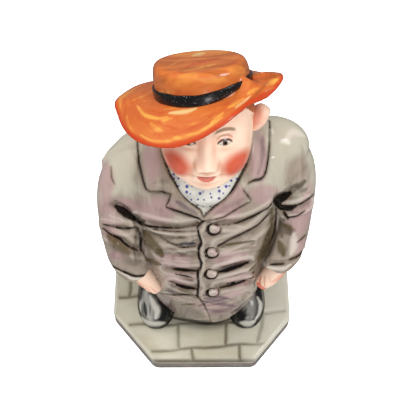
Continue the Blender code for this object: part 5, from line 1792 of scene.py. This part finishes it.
def painted_hat(hat):
    """Orange laid on in long strokes round the brim, with yellow and red let into it."""
    glaze = Glaze("Painted hat", roughness=0.22, coat=0.4)
    x = glaze.mark("hat_x")
    y = glaze.mark("hat_y")
    across = glaze.mark("hat_across")
    rim = glaze.mark("hat_rim")
    height = glaze.mark("hat_height")
    top = (height - 0.5 * CROWN_HEIGHT).ramp(0.0, 1.2)
    swept = glaze.joined(x * 2.6, y * 2.6, across * 0.42)
    strokes = glaze.noise(1.0, 4.0, 0.55, swept, 0.6)
    broad = glaze.noise(0.5, 3.0, 0.5, swept, 0.8)
    fine = glaze.noise(2.4, 4.0, 0.6, swept, 0.3)
    tint = glaze.mix(broad.ramp(0.4, 0.65) * 0.35, hat.orange, hat.red)
    tint = glaze.mix((strokes - 0.53).ramp(0.02, 0.2) * 0.5, tint, hat.yellow)
    tint = glaze.mix((fine - 0.5).ramp(0.03, 0.2) * 0.30, tint, hat.red)
    level = glaze.noise(1.0, 4.0, 0.6, glaze.stretched((60.0, 260.0, 220.0), (0.0, 0.0, 0.25)), 0.5)
    crown_tint = glaze.mix((level - 0.47).ramp(-0.02, 0.14) * 0.75, hat.orange, hat.brown)
    crown_tint = glaze.mix((0.47 - level).ramp(0.0, 0.14) * 0.35, crown_tint, hat.yellow)
    tint = glaze.mix(top, tint, crown_tint)
    dry = 1.6 * strokes + 2.4 * fine - 1.0
    red = glaze.mark("red") * dry
    tint = glaze.mix(red.ramp(0.1, 1.2) * 0.8, tint, hat.red)
    brown = glaze.mark("brown") * dry
    tint = glaze.mix(brown.ramp(0.1, 1.1) * 0.75, tint, toned(hat.brown, 0.75))
    yellow = glaze.mark("yellow") * dry
    tint = glaze.mix(yellow.ramp(0.15, 1.15) * 0.9, tint, hat.yellow)
    cream = glaze.mark("cream") * (0.5 + fine)
    tint = glaze.mix(cream.ramp(0.12, 0.95) * 0.75, tint, hat.cream)
    edge = (rim + 1.5 + 1.2 * (strokes - 0.5)).ramp(0.0, 1.0) * (1.0 - top)
    tint = glaze.mix(edge * 0.85, tint, hat.rim)
    return glaze.finish(tint, bump=glaze.noise(420.0, 2.0) + 0.8 * fine, strength=0.1)


def black_band(hat):
    """Black laid on thick, with grains that catch the light, and grey specks painted on as glints."""
    glaze = Glaze("Black band", coat=0.3, coat_roughness=0.12, specular=0.3)
    grain = glaze.noise(2600.0, 2.0, 0.7)
    # Grey specks painted in as glints
    painted_glints = (grain - 0.66).ramp(0.0, 0.05)
    tint = glaze.mix(painted_glints * 0.55, hat.band, (0.45, 0.45, 0.45))
    return glaze.finish(tint, bump=glaze.noise(1500.0, 3.0, 0.7), strength=0.5)


def black_shoes(shoes):
    """Black with pale grey painted over it as the sheen and reflections where a polished shoe would shine,
    and slate as painted dark reflections and shade.
    """
    glaze = Glaze("Black shoes", roughness=0.15, coat=0.3, specular=0.25)
    clouds = glaze.noise(240.0, 3.0)
    streak = glaze.noise(1.0, 4.0, 0.6, glaze.stretched((420.0, 90.0, 90.0)), 0.3)
    sheen = glaze.mark("sheen") + 0.3 * (clouds - 0.5) + 0.4 * (streak - 0.5)
    tint = glaze.mix(sheen.ramp(0.05, 1.05) * 0.95, shoes.leather, shoes.sheen)
    slate = glaze.mark("slate") + 0.3 * (clouds - 0.5)
    tint = glaze.mix(slate.ramp(0.15, 0.95) * 0.9, tint, shoes.slate)
    return glaze.finish(tint, bump=glaze.noise(420.0, 2.0), strength=0.08)


def dark_trousers(shoes):
    # The trousers' dark cloth, near black as painted shade under the hem
    glaze = Glaze("Dark trousers")
    clouds = glaze.noise(240.0, 3.0)
    darker = toned(shoes.cloth, 0.4)
    tint = glaze.mix(clouds.ramp(0.3, 0.7), shoes.cloth, darker)
    return glaze.finish(tint, bump=glaze.noise(420.0, 2.0), strength=0.08)


def painted_paving(base):
    """Pale stones with soft painted joints, a plain border and a darker edge, with a painted shadow under the
    hem, painted shade towards the left and painted light towards the right.
    """
    glaze = Glaze("Painted paving", roughness=0.22, coat=0.25)
    clouds = glaze.noise(110.0, 4.0, 0.6)
    strokes = glaze.noise(1.0, 4.0, 0.6, glaze.stretched((90.0, 420.0, 200.0)), 0.4)
    patches = glaze.noise(70.0, 2.0, 0.5)
    tint = glaze.mix((clouds * 0.6 + strokes * 0.4).ramp(0.42, 0.66) * 0.6, base.stone, base.warm_stone)
    # Darker close to the joints
    near_joint = glaze.mark("near_joint") * (0.3 + 1.2 * strokes)
    tint = glaze.mix(near_joint.ramp(0.1, 1.0) * 0.2, tint, base.joint)
    joint = glaze.mark("joint") * (0.3 + 1.3 * patches) + 0.25 * (glaze.noise(700.0, 3.0) - 0.5)
    tint = glaze.mix(joint.ramp(0.1, 1.1) * 0.8, tint, base.joint)
    drop = glaze.mark("drop")
    # Painted shade towards the left
    tint = glaze.mix(glaze.mark("wash") * (0.2 + 0.5 * clouds), tint, base.joint)
    bare = (1.5 - glaze.mark("rim") + 0.7 * (clouds - 0.5)).ramp(0.0, 0.9)
    tint = glaze.mix(bare * 0.55, tint, base.bare)
    # Painted shadow under the hem
    tint = glaze.mix(glaze.mark("hem").ramp(0.1, 1.0) * 0.9, tint, toned(base.joint, 0.12))
    side = (drop + 0.5 * (clouds - 0.5)).ramp(0.4, 1.8)
    tint = glaze.mix(side * (0.7 + 0.5 * strokes), tint, base.edge)
    under = (0.8 - abs(drop - 0.5)).ramp(0.0, 0.5) * (0.2 + 0.8 * glaze.mark("front"))
    tint = glaze.mix(under * 0.9, tint, toned(base.joint, 0.55))
    # Painted light towards the right, in the pale of the rim
    tint = glaze.mix(glaze.mark("glow") * 0.6, tint, base.bare)
    foot = (drop - 4.2 + 1.0 * (strokes - 0.5)).ramp(0.0, 1.6)
    tint = glaze.mix(foot * 0.85, tint, toned(base.edge, 0.3))
    return glaze.finish(tint, bump=glaze.noise(420.0, 2.0), strength=0.06)


class Build:
    """What every piece's operator shares."""
    bl_options = {"REGISTER", "UNDO"}


class MENU_OT_base(Build, bpy.types.Operator):
    """Builds the canted base with its paving"""
    bl_idname = "menu_holder.base"
    bl_label = "Paved base"

    def execute(self, context):
        settings = context.scene.menu_base
        finish_piece(paved_mesh(settings), "paved_base", painted_paving(settings))
        return {"FINISHED"}


class MENU_OT_coat(Build, bpy.types.Operator):
    """Builds the coat with its sleeves, lapels, folds and buttons"""
    bl_idname = "menu_holder.coat"
    bl_label = "Coat and buttons"

    def execute(self, context):
        settings = context.scene.menu_coat
        masses = [coat_body(), limb(RIGHT_ARM), limb(LEFT_ARM)]
        masses += [ellipsoid(*RIGHT_SHOULDER), ellipsoid(*LEFT_SHOULDER)]
        mesh = fused(masses, COAT_VOXEL, COAT_SOFTENING)
        seen = seen_from_drawing(mesh)
        points, normals = points_of(mesh), points_of(mesh, "normal")
        place_points(mesh, points + coat_relief(points, normals, seen, settings)[:, None] * normals)
        mesh = thinned_behind(mesh, seen, BEHIND_SHARE)
        coat_paint(mesh, seen_from_drawing(mesh), settings)
        tree = tree_of(mesh)
        whole = bmesh.new()
        for x, rise in BUTTONS:
            disc = mesh_from(button(tree, x, rise, settings), "button")
            whole.from_mesh(disc)
            bpy.data.meshes.remove(disc)
        buttons = mesh_from(whole, "buttons")
        button_paint(buttons, settings)
        finish_piece(mesh, "coat", painted_coat(settings, context.scene.menu_head))
        finish_piece(buttons, "coat_buttons", painted_button(settings))
        return {"FINISHED"}


class MENU_OT_head(Build, bpy.types.Operator):
    """Builds the head, ears and neckcloth"""
    bl_idname = "menu_holder.head"
    bl_label = "Head and neckcloth"

    def execute(self, context):
        settings = context.scene.menu_head
        finish_piece(head_mesh(), "head", painted_head(settings))
        skin = painted_skin(settings)
        finish_piece(ear(-1.0), "ear_left", skin)
        finish_piece(ear(1.0), "ear_right", skin)
        cloth = mesh_from(ellipsoid(CLOTH_CENTRE, CLOTH_HALF), "cloth")
        cloth_paint(cloth)
        finish_piece(cloth, "neckcloth", dotted_cloth(settings))
        return {"FINISHED"}


class MENU_OT_hands(Build, bpy.types.Operator):
    """Builds the two hands"""
    bl_idname = "menu_holder.hands"
    bl_label = "Hands"

    def execute(self, context):
        skin = painted_skin(context.scene.menu_head)
        for name, stations in (("hand_right", RIGHT_HAND), ("hand_left", LEFT_HAND)):
            mesh = mesh_from(limb(stations, 90, 90), "hand")
            points, normals = points_of(mesh), points_of(mesh, "normal")
            flush_and_shade = stroke_cover(oblique(points), FLUSH_STROKES) * (normals[:, 1] < 0.1)
            place_points(mesh, points - 0.2 * flush_and_shade[:, None] * normals)
            paint(mesh, "flush_and_shade", flush_and_shade)
            finish_piece(mesh, name, skin)
        return {"FINISHED"}


class MENU_OT_hat(Build, bpy.types.Operator):
    """Builds the hat and its band"""
    bl_idname = "menu_holder.hat"
    bl_label = "Hat and band"

    def execute(self, context):
        settings = context.scene.menu_hat
        finish_piece(hat_mesh(), "hat", painted_hat(settings))
        finish_piece(mesh_from(band(settings), "band"), "hat_band", black_band(settings))
        return {"FINISHED"}


class MENU_OT_shoes(Build, bpy.types.Operator):
    """Builds the shoes and what stands in the shade of the coat"""
    bl_idname = "menu_holder.shoes"
    bl_label = "Shoes and trousers"

    def execute(self, context):
        settings = context.scene.menu_shoes
        leather = black_shoes(settings)
        for name, place in zip(("shoe_left", "shoe_right"), SHOES):
            mesh = mesh_from(shoe(*place), name)
            places = oblique(points_of(mesh))
            paint(mesh, "sheen", stroke_cover(places, SHEEN_STROKES, soft=True))
            paint(mesh, "slate", stroke_cover(places, SLATE_STROKES, soft=True))
            finish_piece(mesh, name, leather)
        finish_piece(mesh_from(trousers(), "trousers"), "trousers", dark_trousers(settings))
        return {"FINISHED"}


def area_light(name, place, target, size, power):
    """A rectangular light at a place in millimetres, turned to a target."""
    data = bpy.data.lights.new(name, "AREA")
    data.shape = "RECTANGLE"
    data.size, data.size_y = size[0] * MM, size[1] * MM
    data.energy = power
    lamp = bpy.data.objects.new(name, data)
    lamp.location = Vector(place) * MM
    lamp.rotation_euler = (Vector(target) - Vector(place)).to_track_quat("-Z", "Y").to_euler()
    bpy.context.scene.collection.objects.link(lamp)
    return lamp


def angled_camera():
    """The camera, looking down on the figure from the photograph's side."""
    data = bpy.data.cameras.new("Camera")
    data.sensor_width = 36.0
    data.lens = CAMERA_LENS
    data.clip_start, data.clip_end = 0.01, 10.0
    camera = bpy.data.objects.new("Camera", data)
    ahead = Vector((math.sin(CAMERA_HEADING), math.cos(CAMERA_HEADING), 0.0))
    right = Vector((math.cos(CAMERA_HEADING), -math.sin(CAMERA_HEADING), 0.0))
    down = Vector((0.0, 0.0, -1.0))
    forward = ahead * math.cos(CAMERA_PITCH) + down * math.sin(CAMERA_PITCH)
    up = ahead * math.sin(CAMERA_PITCH) - down * math.cos(CAMERA_PITCH)
    c, s = math.cos(CAMERA_ROLL), math.sin(CAMERA_ROLL)
    axes = Matrix((c * right - s * up, s * right + c * up, -forward)).transposed()
    camera.matrix_world = Matrix.Translation(Vector(CAMERA_PLACE) * MM) @ axes.to_4x4()
    return camera


class MENU_OT_stage(Build, bpy.types.Operator):
    """Builds the floor, the lights and the camera"""
    bl_idname = "menu_holder.stage"
    bl_label = "Floor, lights and camera"

    def execute(self, context):
        settings = context.scene.menu_stage
        shape = bmesh.new()
        bmesh.ops.create_grid(shape, x_segments=1, y_segments=1, size=0.5 * settings.floor_size)
        floor = object_from(shape, "floor")
        paper = Glaze("Pale floor", roughness=0.9, coat=0.0, specular=0.0)
        grain = paper.noise(30.0, 3.0)
        pale = toned(settings.floor, 0.985)
        paper.finish(paper.mix(grain.ramp(0.3, 0.7), settings.floor, pale))
        paper.shader.inputs["Emission Color"].default_value = (1.0, 1.0, 1.0, 1.0)
        paper.shader.inputs["Emission Strength"].default_value = settings.floor_glow
        floor.data.materials.append(paper.material)
        middle = (0.0, 0.0, 70.0)
        area_light("Window", (250.0, -60.0, 430.0), middle, (110.0, 160.0), 0.5)
        area_light("Far window", (70.0, -520.0, 250.0), middle, (90.0, 60.0), 0.25)
        softbox = area_light("Softbox", (-220.0, 120.0, 490.0), middle, (420.0, 420.0), 2.4)
        ceiling = area_light("Ceiling", (100.0, -200.0, 580.0), middle, (400.0, 400.0), 2.4)
        softbox.visible_glossy = False
        ceiling.visible_glossy = False
        floor.visible_glossy = False
        world = bpy.data.worlds.new("Studio")
        world.use_nodes = True
        world.node_tree.nodes["Background"].inputs["Color"].default_value = (1.0, 1.0, 1.0, 1.0)
        world.node_tree.nodes["Background"].inputs["Strength"].default_value = settings.sky
        context.scene.world = world
        camera = angled_camera()
        context.scene.collection.objects.link(camera)
        context.scene.camera = camera
        context.scene.view_settings.view_transform = "Standard"
        return {"FINISHED"}


OPERATORS = (
    MENU_OT_base, MENU_OT_coat, MENU_OT_head, MENU_OT_hands, MENU_OT_hat, MENU_OT_shoes, MENU_OT_stage,
)


class MENU_PT_panel(bpy.types.Panel):
    """Lists the sizes, the colours and the steps that build the menu holder"""
    bl_label = "Menu holder"
    bl_idname = "MENU_PT_panel"
    bl_space_type = "VIEW_3D"
    bl_region_type = "UI"
    bl_category = "Menu holder"

    def draw(self, context):
        for operator in OPERATORS:
            self.layout.operator(operator.bl_idname)
        for key, group in GROUPS.items():
            box = self.layout.box()
            box.label(text=group.__doc__)
            for name in group.__annotations__:
                box.prop(getattr(context.scene, key), name)


def register():
    for group in GROUPS.values():
        bpy.utils.register_class(group)
    for item in (*OPERATORS, MENU_PT_panel):
        bpy.utils.register_class(item)
    for key, group in GROUPS.items():
        setattr(bpy.types.Scene, key, bpy.props.PointerProperty(type=group))


def unregister():
    for key in GROUPS:
        delattr(bpy.types.Scene, key)
    for item in (MENU_PT_panel, *reversed(OPERATORS)):
        bpy.utils.unregister_class(item)
    for group in reversed(list(GROUPS.values())):
        bpy.utils.unregister_class(group)


def main():
    register()
    bpy.ops.menu_holder.base()
    bpy.ops.menu_holder.coat()
    bpy.ops.menu_holder.head()
    bpy.ops.menu_holder.hands()
    bpy.ops.menu_holder.hat()
    bpy.ops.menu_holder.shoes()
    bpy.ops.menu_holder.stage()


if __name__ == "__main__":
    main()
